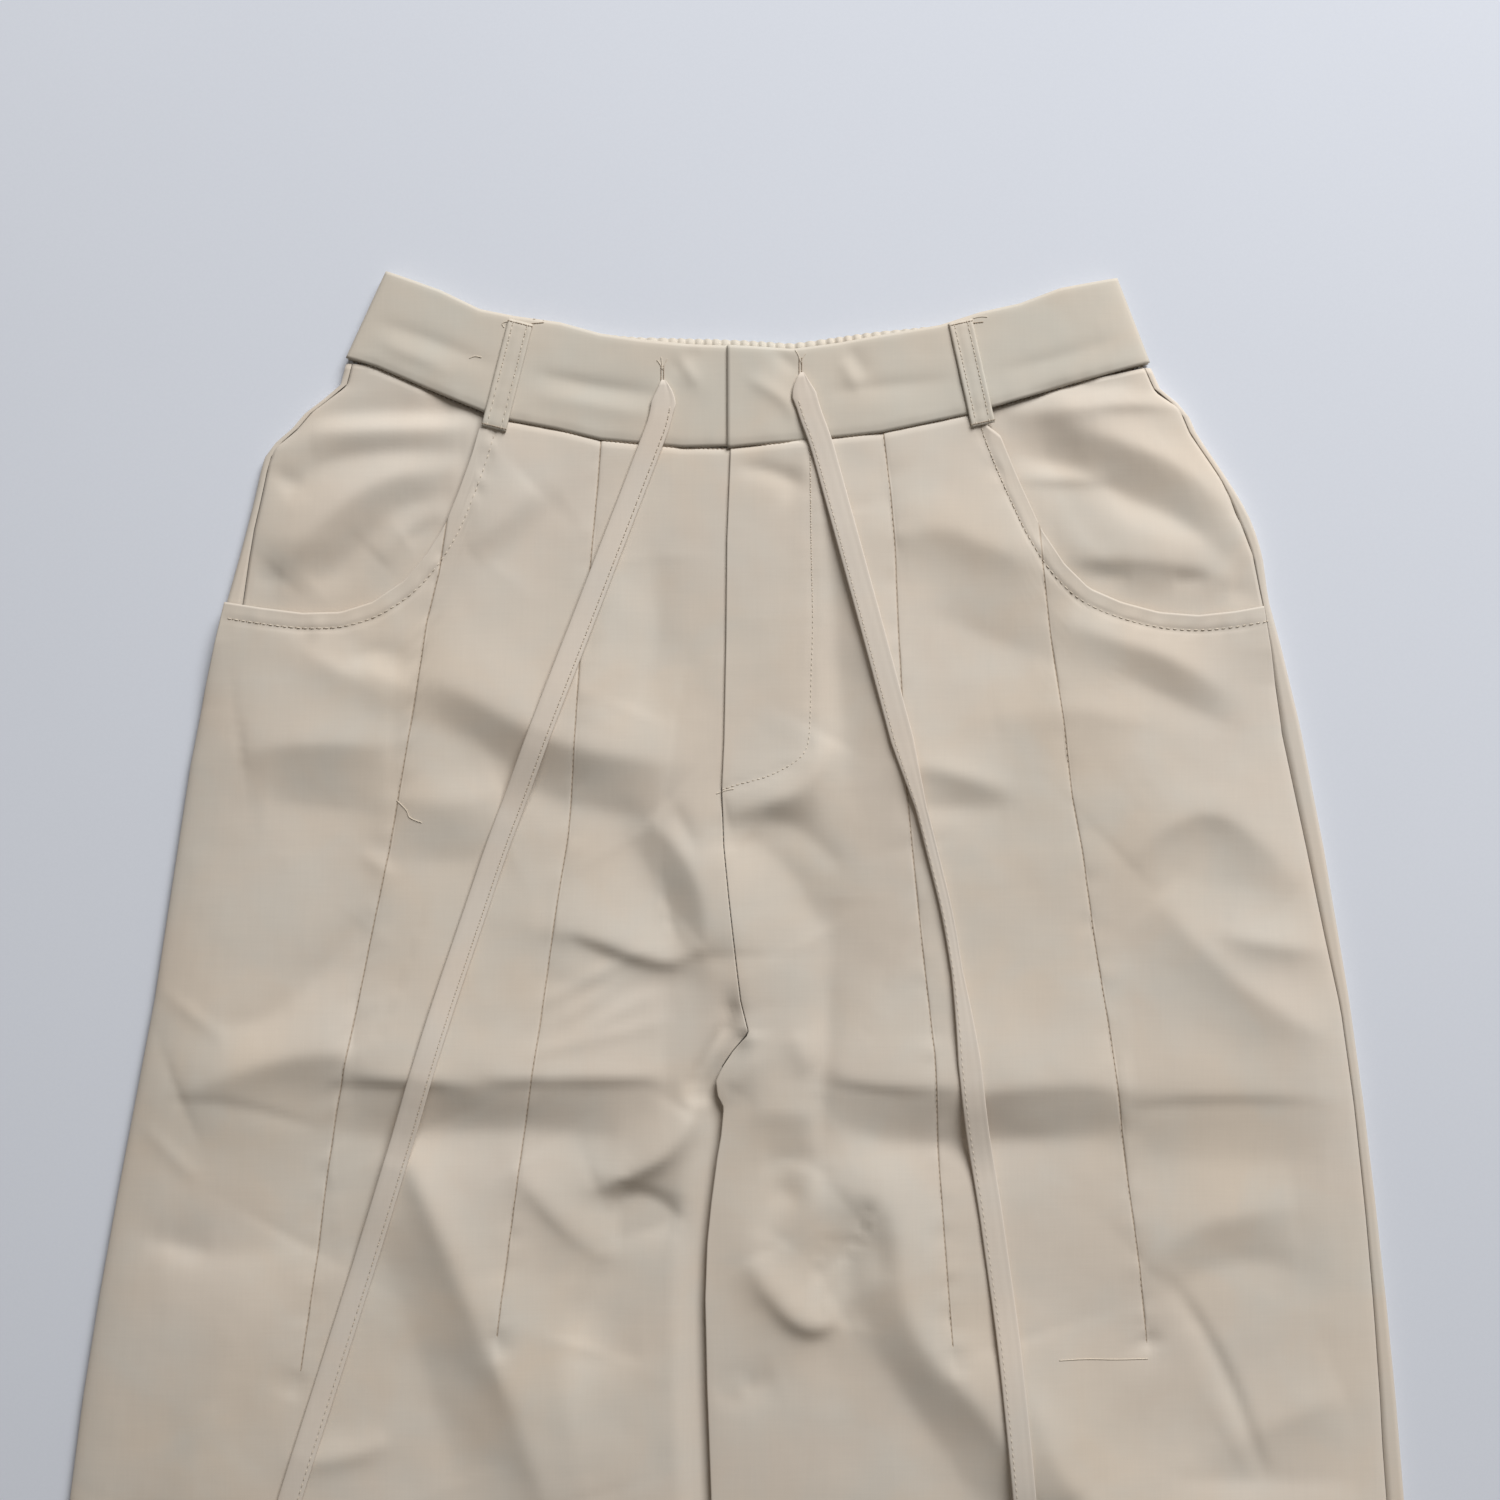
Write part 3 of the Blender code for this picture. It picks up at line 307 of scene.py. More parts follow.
# %% Broad folds
# name, height, width above or right, width below or left, path of (x, down)
FOLDS = (
    ("left yoke top hollow", -1.9, 7, 5, ((-182, 60), (-150, 59), (-118, 59))),
    ("left yoke ridge", 2.8, 5, 9, ((-178, 68), (-150, 67), (-108, 66))),
    ("left yoke hollow", -2.0, 7, 8, ((-190, 92), (-172, 80), (-150, 76), (-112, 76))),
    ("left yoke arc", 4.6, 12, 13, ((-192, 126), (-174, 106), (-158, 93), (-140, 85), (-115, 83))),
    ("left yoke low hollow", -2.0, 10, 8, ((-176, 132), (-155, 112), (-140, 97), (-118, 93))),
    ("left yoke inner ridge", 2.2, 8, 7, ((-150, 120), (-136, 106), (-120, 101))),
    ("right yoke top ridge", 2.2, 5, 8, ((112, 60), (140, 58), (166, 56), (184, 57))),
    ("right yoke ridge", 3.8, 9, 12, ((142, 66), (172, 76), (194, 88), (214, 110))),
    ("right yoke hollow", -3.0, 13, 10, ((112, 78), (140, 80), (160, 93), (185, 103), (208, 122))),
    ("right yoke low ridge", 3.2, 14, 8, ((134, 121), (160, 119), (190, 123), (208, 128))),
    ("left thigh pull", 1.8, 7, 11, ((-180, 160), (-158, 171), (-137, 182))),
    ("left thigh slant", 4.2, 26, 14, ((-206, 200), (-178, 196), (-144, 198))),
    ("left thigh dip", -1.6, 12, 18, ((-196, 222), (-148, 227))),
    ("left front crown", 2.2, 15, 8, ((-112, 116), (-98, 104), (-84, 91))),
    ("left front crown dip", -1.2, 7, 12, ((-100, 124), (-84, 104), (-72, 96))),
    ("left front shoulder", 5.2, 28, 14, ((-134, 168), (-112, 176), (-88, 190), (-66, 199), (-28, 205))),
    ("left front hollow", -2.4, 11, 15, ((-128, 187), (-102, 201), (-82, 221), (-35, 229))),
    ("left front low lens", 2.0, 11, 13, ((-142, 221), (-112, 223), (-98, 216))),
    ("left front low hollow", -1.4, 12, 18, ((-146, 245), (-112, 247), (-96, 240))),
    ("left lobe ridge", 1.6, 13, 10, ((-49, 118), (-56, 158), (-66, 188))),
    ("left lobe hollow", -2.4, 13, 12, ((-34, 120), (-33, 160), (-43, 184))),
    ("left of centre", 4.4, 22, 9, ((-36, 228), (-22, 242), (-13, 260), (-12, 286))),
    ("left centre hollow", -2.2, 8, 17, ((-45, 238), (-31, 262), (-25, 286))),
    ("left swoosh", 2.8, 18, 6, ((-80, 275), (-62, 277), (-40, 286), (-24, 290), (-14, 281))),
    ("left swoosh hollow", -1.4, 8, 14, ((-82, 296), (-55, 301), (-25, 298))),
    ("left outer dip", -2.2, 9, 12, ((-214, 315), (-195, 313), (-176, 298), (-156, 272))),
    ("left knee lobe", 6.2, 26, 16, ((-232, 343), (-205, 332), (-180, 325), (-160, 326))),
    ("left knee line", 5.4, 30, 13, ((-164, 328), (-150, 337), (-90, 338), (-30, 337))),
    ("left knee hollow", -3.2, 13, 15, ((-168, 361), (-140, 362), (-100, 358), (-50, 362))),
    ("left knee outer hollow", -2.0, 30, 14, ((-238, 410), (-200, 409), (-166, 404))),
    ("left middle ridge", 6.0, 27, 15, ((-140, 364), (-122, 404), (-106, 440), (-90, 478), (-78, 516))),
    ("left middle hollow", -1.8, 15, 24, ((-152, 400), (-138, 440), (-116, 506))),
    ("left tongue", 3.0, 20, 9, ((-92, 372), (-80, 391), (-62, 409), (-50, 410))),
    ("left inner hollow", -4.2, 18, 10, ((-44, 380), (-52, 410), (-66, 448))),
    ("left inner foot", -1.2, 14, 8, ((-68, 453), (-40, 452))),
    ("crotch ridge", 4.6, 12, 5, ((-58, 382), (-42, 376), (-28, 367), (-19, 352))),
    ("crotch hollow", -4.0, 6, 12, ((-48, 389), (-34, 392), (-24, 396))),
    ("crotch knob", 2.6, 6, 5, ((5, 318), (7, 328), (-2, 341))),
    ("left shin ridge", 5.0, 24, 22, ((-186, 404), (-206, 440), (-222, 480), (-234, 520))),
    ("left low pull", 1.8, 7, 5, ((-184, 497), (-160, 494), (-146, 488))),
    ("right front crown", 3.2, 22, 11, ((66, 110), (86, 106), (104, 114), (126, 122))),
    ("right front crown dip", -1.8, 12, 16, ((84, 144), (108, 156), (132, 162))),
    ("right front stripe", 2.0, 8, 7, ((74, 206), (92, 210), (112, 217))),
    ("right front stripe dip", -1.4, 7, 9, ((74, 224), (112, 224))),
    ("right front middle", 1.4, 14, 14, ((108, 188), (140, 182), (170, 188))),
    ("beside the fly", -2.0, 10, 8, ((38, 104), (42, 160), (46, 214))),
    ("under the right tie", 3.4, 16, 15, ((46, 100), (58, 150), (68, 200), (77, 238))),
    ("fly foot", 3.4, 13, 8, ((-4, 226), (14, 222), (30, 214), (40, 196))),
    ("under the fly", -2.4, 10, 18, ((4, 236), (22, 250), (36, 276))),
    ("centre seam", 2.0, 14, 14, ((-5, 240), (-2, 270), (3, 308))),
    ("right of centre", -2.0, 14, 10, ((40, 262), (39, 300), (34, 342))),
    ("right thigh pull", 2.2, 9, 9, ((136, 147), (160, 155), (182, 162), (202, 176))),
    ("right thigh pull dip", -1.6, 9, 12, ((158, 168), (182, 180), (204, 190))),
    ("right thigh peak", 3.4, 22, 12, ((162, 246), (180, 229), (200, 224), (216, 236), (236, 256))),
    ("right thigh edge", 2.8, 14, 7, ((202, 276), (222, 281), (250, 283))),
    ("right thigh slant", 3.4, 14, 13, ((174, 262), (198, 288), (220, 306), (246, 320))),
    ("right knee line", 5.6, 28, 13, ((36, 330), (50, 338), (80, 341), (120, 342), (164, 340))),
    ("right knee outer line", 3.0, 26, 18, ((158, 342), (200, 342), (252, 344))),
    ("right knee hollow", -3.4, 14, 15, ((40, 356), (70, 366), (110, 363), (162, 361))),
    ("right knee outer hollow", -1.4, 16, 22, ((166, 370), (244, 372))),
    ("right arch", 6.0, 20, 15, ((47, 390), (54, 384), (62, 388), (67, 404), (68, 426), (76, 448),
                                 (94, 464), (112, 488), (130, 516))),
    ("right arch hollow", -2.2, 14, 15, ((50, 428), (60, 456), (80, 484), (104, 518))),
    ("right lobe", 4.4, 18, 8, ((6, 412), (16, 431), (30, 442), (43, 435))),
    ("right lobe side", -2.2, 9, 10, ((47, 402), (47, 424), (44, 440))),
    ("right lobe ridge", 1.8, 8, 6, ((35, 376), (29, 396), (22, 405))),
    ("right lobe dip", -1.4, 7, 8, ((20, 374), (12, 404))),
    ("right leg bend", 1.6, 10, 9, ((6, 351), (20, 350), (33, 353))),
    ("right leg bend dip", -1.6, 8, 7, ((10, 372), (33, 370))),
    ("right foot small", -1.5, 8, 6, ((-9, 467), (4, 466), (16, 462))),
    ("right low sweep", 6.0, 32, 18, ((116, 446), (126, 480), (138, 506), (160, 522), (200, 526),
                                      (258, 522))),
    ("right low arch", 2.6, 18, 13, ((170, 414), (184, 402), (200, 394), (232, 390))),
    ("right low arch dip", -1.5, 10, 12, ((184, 422), (206, 412), (232, 416))),
    ("right low shelf", 1.8, 20, 12, ((204, 490), (222, 480), (252, 468))),
    ("right low shelf dip", -1.2, 10, 8, ((182, 503), (256, 504))),
    ("left calf outer", 3.0, 28, 26, ((-232, 560), (-216, 640), (-214, 760))),
    ("left calf inner", 3.2, 24, 22, ((-88, 560), (-112, 640), (-122, 720))),
    ("left hem fold", 2.4, 24, 24, ((-150, 800), (-142, 990))),
    ("right calf outer", 2.8, 26, 26, ((214, 590), (196, 690), (200, 790))),
    ("right calf inner", 3.2, 24, 22, ((90, 560), (94, 640), (98, 730))),
    ("right hem fold", 2.4, 24, 24, ((142, 810), (136, 990))),
)
print("broad folds:", len(FOLDS))

# %% [markdown]
# Between the broad folds there are sharper creases: where cloth is pulled at a seam, where a fold
# breaks, and where the garment was once folded away in a shop. They have the same columns, but their
# sides fall off faster, which gives a crease a crisp line at its top.

# %% Creases
CREASES = (
    ("left yoke side nick", -1.4, 5, 5, ((-196, 84), (-182, 90))),
    ("left yoke foot", -1.2, 5, 6, ((-202, 128), (-190, 130))),
    ("left yoke pocket dip", -1.4, 6, 6, ((-138, 113), (-124, 104))),
    ("right yoke sharp", 1.2, 6, 2.6, ((116, 86.5), (136, 86.6), (154, 86.8))),
    ("right yoke small", -1.2, 4, 5, ((150, 60), (183, 59))),
    ("right yoke seam dip", -0.9, 3, 3, ((124, 52), (146, 48), (166, 46))),
    ("right yoke dark one", -1.2, 6, 6, ((142, 128), (164, 128))),
    ("right yoke dark two", -1.0, 5, 5, ((182, 130), (196, 128))),
    ("right yoke dark three", -1.5, 6, 6, ((206, 134), (218, 136))),
    ("left dart pull one", -1.0, 5, 6, ((-160, 163), (-150, 158), (-136, 164))),
    ("left dart pull two", 0.8, 4, 4, ((-134, 176), (-156, 166))),
    ("left dart pull three", 0.6, 3, 4, ((-156, 243), (-144, 252))),
    ("left shop fold", -1.1, 2.6, 7, ((-168, 341), (-146, 340), (-120, 341))),
    ("left shop fold inner", -0.9, 2.6, 7, ((-104, 340), (-70, 339), (-34, 340))),
    ("left shop fold lip", 0.7, 5, 2.4, ((-150, 337), (-118, 337.5))),
    ("left shop fold lip inner", 0.8, 6, 2.6, ((-102, 336), (-66, 336.5), (-34, 335))),
    ("left shop fold outer", -0.5, 2, 4, ((-236, 346), (-210, 347), (-176, 357))),
    ("right shop fold", -1.0, 3, 8, ((40, 341), (70, 344), (96, 343))),
    ("right shop fold middle", -0.8, 3, 8, ((104, 345), (130, 343), (156, 343))),
    ("right shop fold outer", -0.7, 2.4, 6, ((164, 350), (186, 347), (238, 348))),
    ("right thigh crease", -1.1, 5, 4, ((39, 298), (37, 330), (35, 384))),
    ("right thigh point", 1.0, 6, 5, ((24, 318), (29, 334))),
    ("under the fly end", -1.2, 5, 8, ((10, 228), (28, 234), (42, 248))),
    ("fly top pull", -1.1, 3, 4, ((2, 82), (16, 84), (27, 90))),
    ("fly top pull two", -0.8, 4, 4, ((25, 82), (20, 96))),
    ("left seam pull", -0.9, 4, 5, ((-26, 224), (-18, 240))),
    ("left swoosh break", -1.6, 3, 7, ((-70, 279), (-46, 289), (-26, 293), (-16, 286))),
    ("left fine crease one", 0.7, 2.5, 3, ((-80, 305), (-40, 284))),
    ("left fine crease two", 0.6, 2.5, 3, ((-72, 312), (-48, 296))),
    ("left fine crease three", 0.5, 2.5, 3, ((-86, 326), (-30, 313))),
    ("left fine crease four", 0.5, 2.5, 3, ((-66, 318), (-36, 302))),
    ("left outer fine crease", 0.5, 2.5, 3, ((-240, 300), (-216, 318))),
    ("left outer fine crease low", 0.5, 2.5, 3, ((-246, 358), (-226, 378))),
    ("left outer notch", -1.3, 9, 5, ((-246, 403), (-232, 407), (-220, 409))),
    ("right slant crease", -1.3, 2, 4, ((182, 422), (203, 456), (219, 500))),
    ("left dart end", -1.4, 5, 5, ((-101, 441), (-96, 452))),
    ("left outer dart end", -0.9, 4, 6, ((-181.7, 459), (-186, 470))),
    ("right dart end", -1.0, 5, 5, ((89.6, 448), (92, 460))),
    ("right outer dart end", -1.4, 4, 5, ((170.5, 443), (173, 450))),
    ("crotch slit", -3.6, 4, 3.5, ((-3, 304), (-3, 313), (-8, 323), (-15, 336))),
    ("crotch slit low", -2.4, 3.5, 3.5, ((-13, 343), (-11, 356), (-14, 370))),
    ("left tongue shadow", -1.2, 5, 9, ((-88, 386), (-78, 399), (-60, 413))),
    ("right arch inside", -1.2, 6, 8, ((54, 398), (58, 402), (60, 420))),
    ("right lobe inside", -1.6, 5, 8, ((10, 428), (22, 444), (36, 447), (46, 436))),
    ("right leg dark bend", -1.3, 8, 7, ((16, 382), (26, 388))),
    ("left low ridge", 1.0, 8, 8, ((-70, 420), (-74, 460), (-66, 500))),
    ("left middle crease", 1.0, 7, 5, ((-138, 368), (-130, 384), (-116, 412))),
    ("band left crease", -0.6, 3, 4, ((-150, 22), (-128, 29), (-104, 39))),
    ("band left crease low", 0.5, 4, 3, ((-148, 30), (-120, 42))),
    ("band middle crease", -0.9, 3, 5, ((-82, 44), (-56, 49), (-34, 52))),
    ("band middle crease low", 0.6, 4, 4, ((-82, 52), (-50, 58), (-36, 60))),
    ("band eyelet pull", 0.8, 3, 3, ((-24, 36), (-17, 48))),
    ("band eyelet fan", -0.6, 3, 3, ((-27, 42), (-16, 33))),
    ("band right eyelet fan", -0.8, 3, 3, ((16, 34), (25, 42))),
    ("band right eyelet fold", 0.8, 4, 3, ((6, 46), (20, 54), (24, 62))),
    ("band right crease", -0.6, 3, 5, ((40, 51), (66, 48), (88, 46))),
    ("band right fan", 0.7, 3, 3, ((44, 38), (50, 50))),
    ("band right fan two", -0.5, 3, 3, ((47, 33), (54, 44))),
    ("band far right crease", -0.5, 3, 4, ((112, 42), (136, 36), (158, 29))),
)
print("creases:", len(CREASES))

# %% [markdown]
# Small functions read a table, ease a step and measure the distance to a path. They all work on whole
# arrays of points at once, because a piece of cloth has tens of thousands of them.

# %% Measuring helpers
def value(table, at):
    """The second column of a table, read at places of its first."""
    first, second = zip(*table)
    return np.interp(at, first, second)


def line(table, shift=0.0):
    return lambda down: value(table, down) + shift


def ease(t):
    t = np.clip(t, 0, 1)
    return t * t * (3 - 2 * t)


def to_path(x, down, path):
    """Distance to a path, its side from -1 to 1, and how far along it the nearest point is."""
    x, down = np.asarray(x, float), np.asarray(down, float)
    nearest = np.full(x.shape, 1e9)
    side = np.ones(x.shape)
    along = np.zeros(x.shape)
    lengths = [math.dist(a, b) for a, b in zip(path, path[1:])]
    start = 0.0
    for a, b, length in zip(path, path[1:], lengths):
        tx, td = (b[0] - a[0]) / length, (b[1] - a[1]) / length
        t = np.clip((x - a[0]) * tx + (down - a[1]) * td, 0, length)
        vx, vd = x - a[0] - t * tx, down - a[1] - t * td
        distance = np.hypot(vx, vd)
        closer = distance < nearest
        nearest = np.where(closer, distance, nearest)
        side = np.where(closer, (tx * vd - td * vx) / np.maximum(distance, 0.5), side)
        along = np.where(closer, (start + t) / sum(lengths), along)
        start += length
    return nearest, side, along


def uneven(x, down, size, seed):
    """A smooth unevenness from -1 to 1, the same on every run, with bumps about as wide as size."""
    u, v = np.asarray(x, float) / size, np.asarray(down, float) / size
    iu, iv = np.floor(u), np.floor(v)
    fu, fv = ease(u - iu), ease(v - iv)

    def corner(a, b):
        mixed = np.sin((iu + a) * 127.1 + (iv + b) * 311.7 + seed * 74.7) * 43758.5453
        return (mixed - np.floor(mixed)) * 2 - 1

    upper = corner(0, 0) * (1 - fu) + corner(1, 0) * fu
    lower = corner(0, 1) * (1 - fu) + corner(1, 1) * fu
    return upper * (1 - fv) + lower * fv


print("distance check:", float(to_path(3.0, 4.0, ((0, 0), (10, 0)))[0]), "mm")

# %% [markdown]
# The height of the upper cloth is the loft plus every fold and crease near that point, and a slight
# unevenness in four sizes. Along a pocket edge the cloth is calmer, because the turned hem is stiff.

# %% Height of the cloth
LOWEST = 3.2                # the upper cloth never sinks onto the lower
HEM_CALM = 0.6              # share of the folds that a pocket hem flattens
# distance from an edge, share of the full height: how soft the cloth's edges are
EDGE_RISE = (
    (0, 0), (0.6, 0.13), (1.4, 0.25), (3, 0.4), (6, 0.57), (10, 0.73), (16, 0.88), (24, 0.97), (32, 1),
)


def smooth_path(path, rounds=2):
    """Cuts the corners of a path, so that a fold bends softly."""
    points = [tuple(map(float, p)) for p in path]
    for _ in range(rounds):
        made = [points[0]]
        for a, b in zip(points, points[1:]):
            made.append((a[0] * 0.75 + b[0] * 0.25, a[1] * 0.75 + b[1] * 0.25))
            made.append((a[0] * 0.25 + b[0] * 0.75, a[1] * 0.25 + b[1] * 0.75))
        points = made + [points[-1]]
    return points


def relief(x, down, rows, power, blunt):
    """Height that the rows of a fold table add at (x, down). blunt is the radius of a fold's top."""
    total = np.zeros(np.shape(x))
    for i, (_, height, width_a, width_b, path) in enumerate(rows):
        reach = 3.2 * max(width_a, width_b)
        xs, downs = zip(*path)
        near = (x > min(xs) - reach) & (x < max(xs) + reach)
        near &= (down > min(downs) - reach) & (down < max(downs) + reach)
        if not near.any():
            continue
        px, pd = x[near], down[near]
        distance, side, along = to_path(px, pd, smooth_path(path))
        distance = np.hypot(distance, blunt) - blunt
        width = width_a + (width_b - width_a) * ease(0.5 + 0.5 * side)
        width *= 1 + 0.15 * uneven(px, pd, 21, i)
        ends = 0.3 + 0.7 * np.sin(np.pi * np.clip(along, 0, 1)) ** 0.6
        total[near] += height * ends * np.exp(-((distance / width) ** power))
    return total


def cloth_height(x, down):
    """Top of the upper cloth, before any edge of it is rolled down."""
    calm = 1 - HEM_CALM * np.exp(-((to_path(x, down, LEFT_SCOOP)[0] / 8) ** 2))
    calm *= 1 - HEM_CALM * np.exp(-((to_path(x, down, RIGHT_SCOOP)[0] / 8) ** 2))
    rough = 0.4 * uneven(x, down, 62, 1) + 0.2 * uneven(x, down, 27, 2)
    rough += (0.1 * uneven(x + 0.3 * down, down - 0.3 * x, 13, 3)
              + 0.035 * uneven(x - 0.4 * down, down + 0.4 * x, 6.5, 4))
    lifted = relief(x, down, FOLDS, 1.3, 1.2) + relief(x, down, CREASES, 1.5, 0.5) + rough
    return np.maximum(LOFT + calm * lifted, LOWEST)


def roll_in(distance):
    """How far the cloth has risen from an edge towards its full height."""
    return value(EDGE_RISE, distance)


def puckered(across, down, seed, reach=6.0, depth=0.3):
    """Short ripples that cross a seam line. across is the signed distance to it."""
    ripples = uneven(down, np.sign(across) * 9.0, 6.5, seed) + 0.5 * uneven(down + across, 3.0, 4.1, seed + 5)
    return depth * ripples * np.exp(-((np.abs(across) / reach) ** 1.5))


def dart(x, down, table, end, seed):
    """What a sewn dart does to the height: a narrow groove, and puckers that end with it."""
    across = x - value(table, down)
    sewn = ease((end - down) / 12)
    groove = 0.16 * np.exp(-((across / 0.9) ** 2)) + 0.2 * np.exp(-((across / 4.5) ** 2))
    return sewn * (puckered(across, down, seed) - groove)


sample = cloth_height(np.array([0.0, -150.0]), np.array([260.0, 337.0]))
print("height at the seam and on the knee line:", np.round(sample, 2), "mm")

# %% [markdown]
# The cloth is a fine cotton poplin: a tight plain weave of thin threads, smooth, with a slight sheen.
# Up close there are two sets of threads that cross, and slubs, which are threads a little thicker than
# the rest. The group gives colour, roughness and height, so that each finish can use its own amounts.

# %% Poplin weave group
def float_socket(tree, name, default, way="INPUT"):
    made = tree.interface.new_socket(name, in_out=way, socket_type="NodeSocketFloat")
    if way == "INPUT":
        made.default_value = default


weave = bpy.data.node_groups.new("poplin_weave", "ShaderNodeTree")
weave.interface.new_socket("Cloth", in_out="INPUT", socket_type="NodeSocketColor")
weave.interface.new_socket("Warm Cloth", in_out="INPUT", socket_type="NodeSocketColor")
weave.interface.new_socket("Cool Cloth", in_out="INPUT", socket_type="NodeSocketColor")
float_socket(weave, "Threads", 1900.0)
float_socket(weave, "Slubs", 0.05)
weave.interface.new_socket("Colour", in_out="OUTPUT", socket_type="NodeSocketColor")
float_socket(weave, "Roughness", 0, "OUTPUT")
float_socket(weave, "Height", 0, "OUTPUT")
given = weave.nodes.new("NodeGroupInput")
spot = node(weave, "ShaderNodeTexCoord").outputs["Object"]
sets = []
for direction in ("X", "Y"):
    sets.append(node(weave, "ShaderNodeTexWave", {
        "Vector": spot, "Scale": given.outputs["Threads"], "Distortion": 0.6, "Detail": 1.0,
    }, wave_type="BANDS", bands_direction=direction).outputs["Fac"])
crossed = node(weave, "ShaderNodeMath", {0: sets[0], 1: sets[1]}, operation="MAXIMUM")
slub_sets = []
for stretch in ((60, 1400, 60), (1400, 60, 60)):
    drawn = node(weave, "ShaderNodeMapping", {"Vector": spot, "Scale": stretch})
    slub_sets.append(node(weave, "ShaderNodeTexNoise", {
        "Vector": drawn.outputs["Vector"], "Scale": 1.0, "Detail": 2.0, "Roughness": 0.6,
    }).outputs["Fac"])
slubs = node(weave, "ShaderNodeMath", {0: slub_sets[0], 1: slub_sets[1]}, operation="ADD")
slubs = node(weave, "ShaderNodeMath", {0: slubs.outputs[0], 1: 1.0}, operation="SUBTRACT")
patches = node(weave, "ShaderNodeTexNoise", {"Vector": spot, "Scale": 11.0, "Detail": 2.0})
patches = node(weave, "ShaderNodeMapRange", {"Value": patches.outputs["Fac"], "From Min": 0.32,
                                             "From Max": 0.68})
other = node(weave, "ShaderNodeTexNoise", {"Vector": spot, "Scale": 27.0, "Detail": 3.0, "Distortion": 0.4})
other = node(weave, "ShaderNodeMapRange", {"Value": other.outputs["Fac"], "From Min": 0.38, "From Max": 0.68,
                                           "To Max": 0.7})
tinted = node(weave, "ShaderNodeMix", {0: patches.outputs[0], 6: given.outputs["Cloth"],
                                       7: given.outputs["Warm Cloth"]}, data_type="RGBA")
tinted = node(weave, "ShaderNodeMix", {0: other.outputs[0], 6: tinted.outputs[2],
                                       7: given.outputs["Cool Cloth"]}, data_type="RGBA")
streak = node(weave, "ShaderNodeMath", {0: slubs.outputs[0], 1: given.outputs["Slubs"], 2: 1.0},
              operation="MULTIPLY_ADD")
streaked = node(weave, "ShaderNodeVectorMath", {0: tinted.outputs[2], "Scale": streak.outputs[0]},
                operation="SCALE")
rough = node(weave, "ShaderNodeMapRange", {"Value": slubs.outputs[0], "From Min": -0.5, "From Max": 0.5,
                                           "To Min": 0.66, "To Max": 0.8})
high = node(weave, "ShaderNodeMath", {0: slubs.outputs[0], 1: 1.2, 2: crossed.outputs[0]},
            operation="MULTIPLY_ADD")
given_out = weave.nodes.new("NodeGroupOutput")
weave.links.new(streaked.outputs[0], given_out.inputs["Colour"])
weave.links.new(rough.outputs[0], given_out.inputs["Roughness"])
weave.links.new(high.outputs[0], given_out.inputs["Height"])
print("poplin weave group:", len(weave.nodes), "nodes")

# %% [markdown]
# A sewn line shows as a fine dark ditch, because two layers meet there and shade each other. Each
# piece carries the distance to its nearest sewn line in an attribute, in millimetres. The group turns
# that distance into a mask for painted shade in the colour, and a height for the bump.

# %% Sewn line group
ditch = bpy.data.node_groups.new("sewn_line", "ShaderNodeTree")
float_socket(ditch, "Distance", 20.0)
float_socket(ditch, "Width", 0.5)
float_socket(ditch, "Mask", 0, "OUTPUT")
float_socket(ditch, "Height", 0, "OUTPUT")
given = ditch.nodes.new("NodeGroupInput")
away_from = node(ditch, "ShaderNodeMath", {0: given.outputs["Distance"]}, operation="ABSOLUTE")
share = node(ditch, "ShaderNodeMath", {0: away_from.outputs[0], 1: given.outputs["Width"]},
             operation="DIVIDE")
mask = node(ditch, "ShaderNodeMapRange", {"Value": share.outputs[0], "From Min": 1.0, "From Max": 0.2,
                                          "To Min": 0.0, "To Max": 1.0}, interpolation_type="SMOOTHSTEP")
depth = node(ditch, "ShaderNodeMath", {0: mask.outputs[0], 1: -1.0}, operation="MULTIPLY")
given_out = ditch.nodes.new("NodeGroupOutput")
ditch.links.new(mask.outputs[0], given_out.inputs["Mask"])
ditch.links.new(depth.outputs[0], given_out.inputs["Height"])
print("sewn line group:", len(ditch.nodes), "nodes")

# %% [markdown]
# One function makes each cloth finish from the two groups. The waistband and the tie are folded
# double, so less light comes through them and their colour is a little greyer or pinker. Sheen and
# the specular level are the same all over, so they are set on the shader itself.

# %% Cloth finishes
SHEEN = 0.18
DITCH_SHADE_SHARE = 0.7            # how much painted shade shows in a sewn ditch


def cloth_look(name, cloth, warm, cool, ditch_shade_colour):
    made, tree, shader = new_material(name)
    woven = node(tree, "ShaderNodeGroup", node_tree=weave)
    woven.inputs["Cloth"].default_value = (*cloth, 1)
    woven.inputs["Warm Cloth"].default_value = (*warm, 1)
    woven.inputs["Cool Cloth"].default_value = (*cool, 1)
    stored = node(tree, "ShaderNodeAttribute", attribute_name="seam")
    sewn = node(tree, "ShaderNodeGroup", {}, node_tree=ditch)
    tree.links.new(stored.outputs["Fac"], sewn.inputs["Distance"])
    # painted shade: the ditch's shade is mixed into the base colour here
    soft = node(tree, "ShaderNodeMath", {0: sewn.outputs["Mask"], 1: DITCH_SHADE_SHARE}, operation="MULTIPLY")
    shown = node(tree, "ShaderNodeMix", {0: soft.outputs[0], 6: woven.outputs["Colour"],
                                         7: (*ditch_shade_colour, 1)}, data_type="RGBA")
    threads = node(tree, "ShaderNodeBump", {"Height": woven.outputs["Height"], "Strength": 0.10,
                                            "Distance": 0.0001})
    sunk = node(tree, "ShaderNodeBump", {"Height": sewn.outputs["Height"], "Strength": 0.6,
                                         "Distance": 0.0003, "Normal": threads.outputs["Normal"]})
    tree.links.new(shown.outputs[2], shader.inputs["Base Color"])
    tree.links.new(woven.outputs["Roughness"], shader.inputs["Roughness"])
    tree.links.new(sunk.outputs["Normal"], shader.inputs["Normal"])
    shader.inputs["Sheen Weight"].default_value = SHEEN
    shader.inputs["Sheen Roughness"].default_value = 0.45
    shader.inputs["Specular IOR Level"].default_value = 0.28
    return made


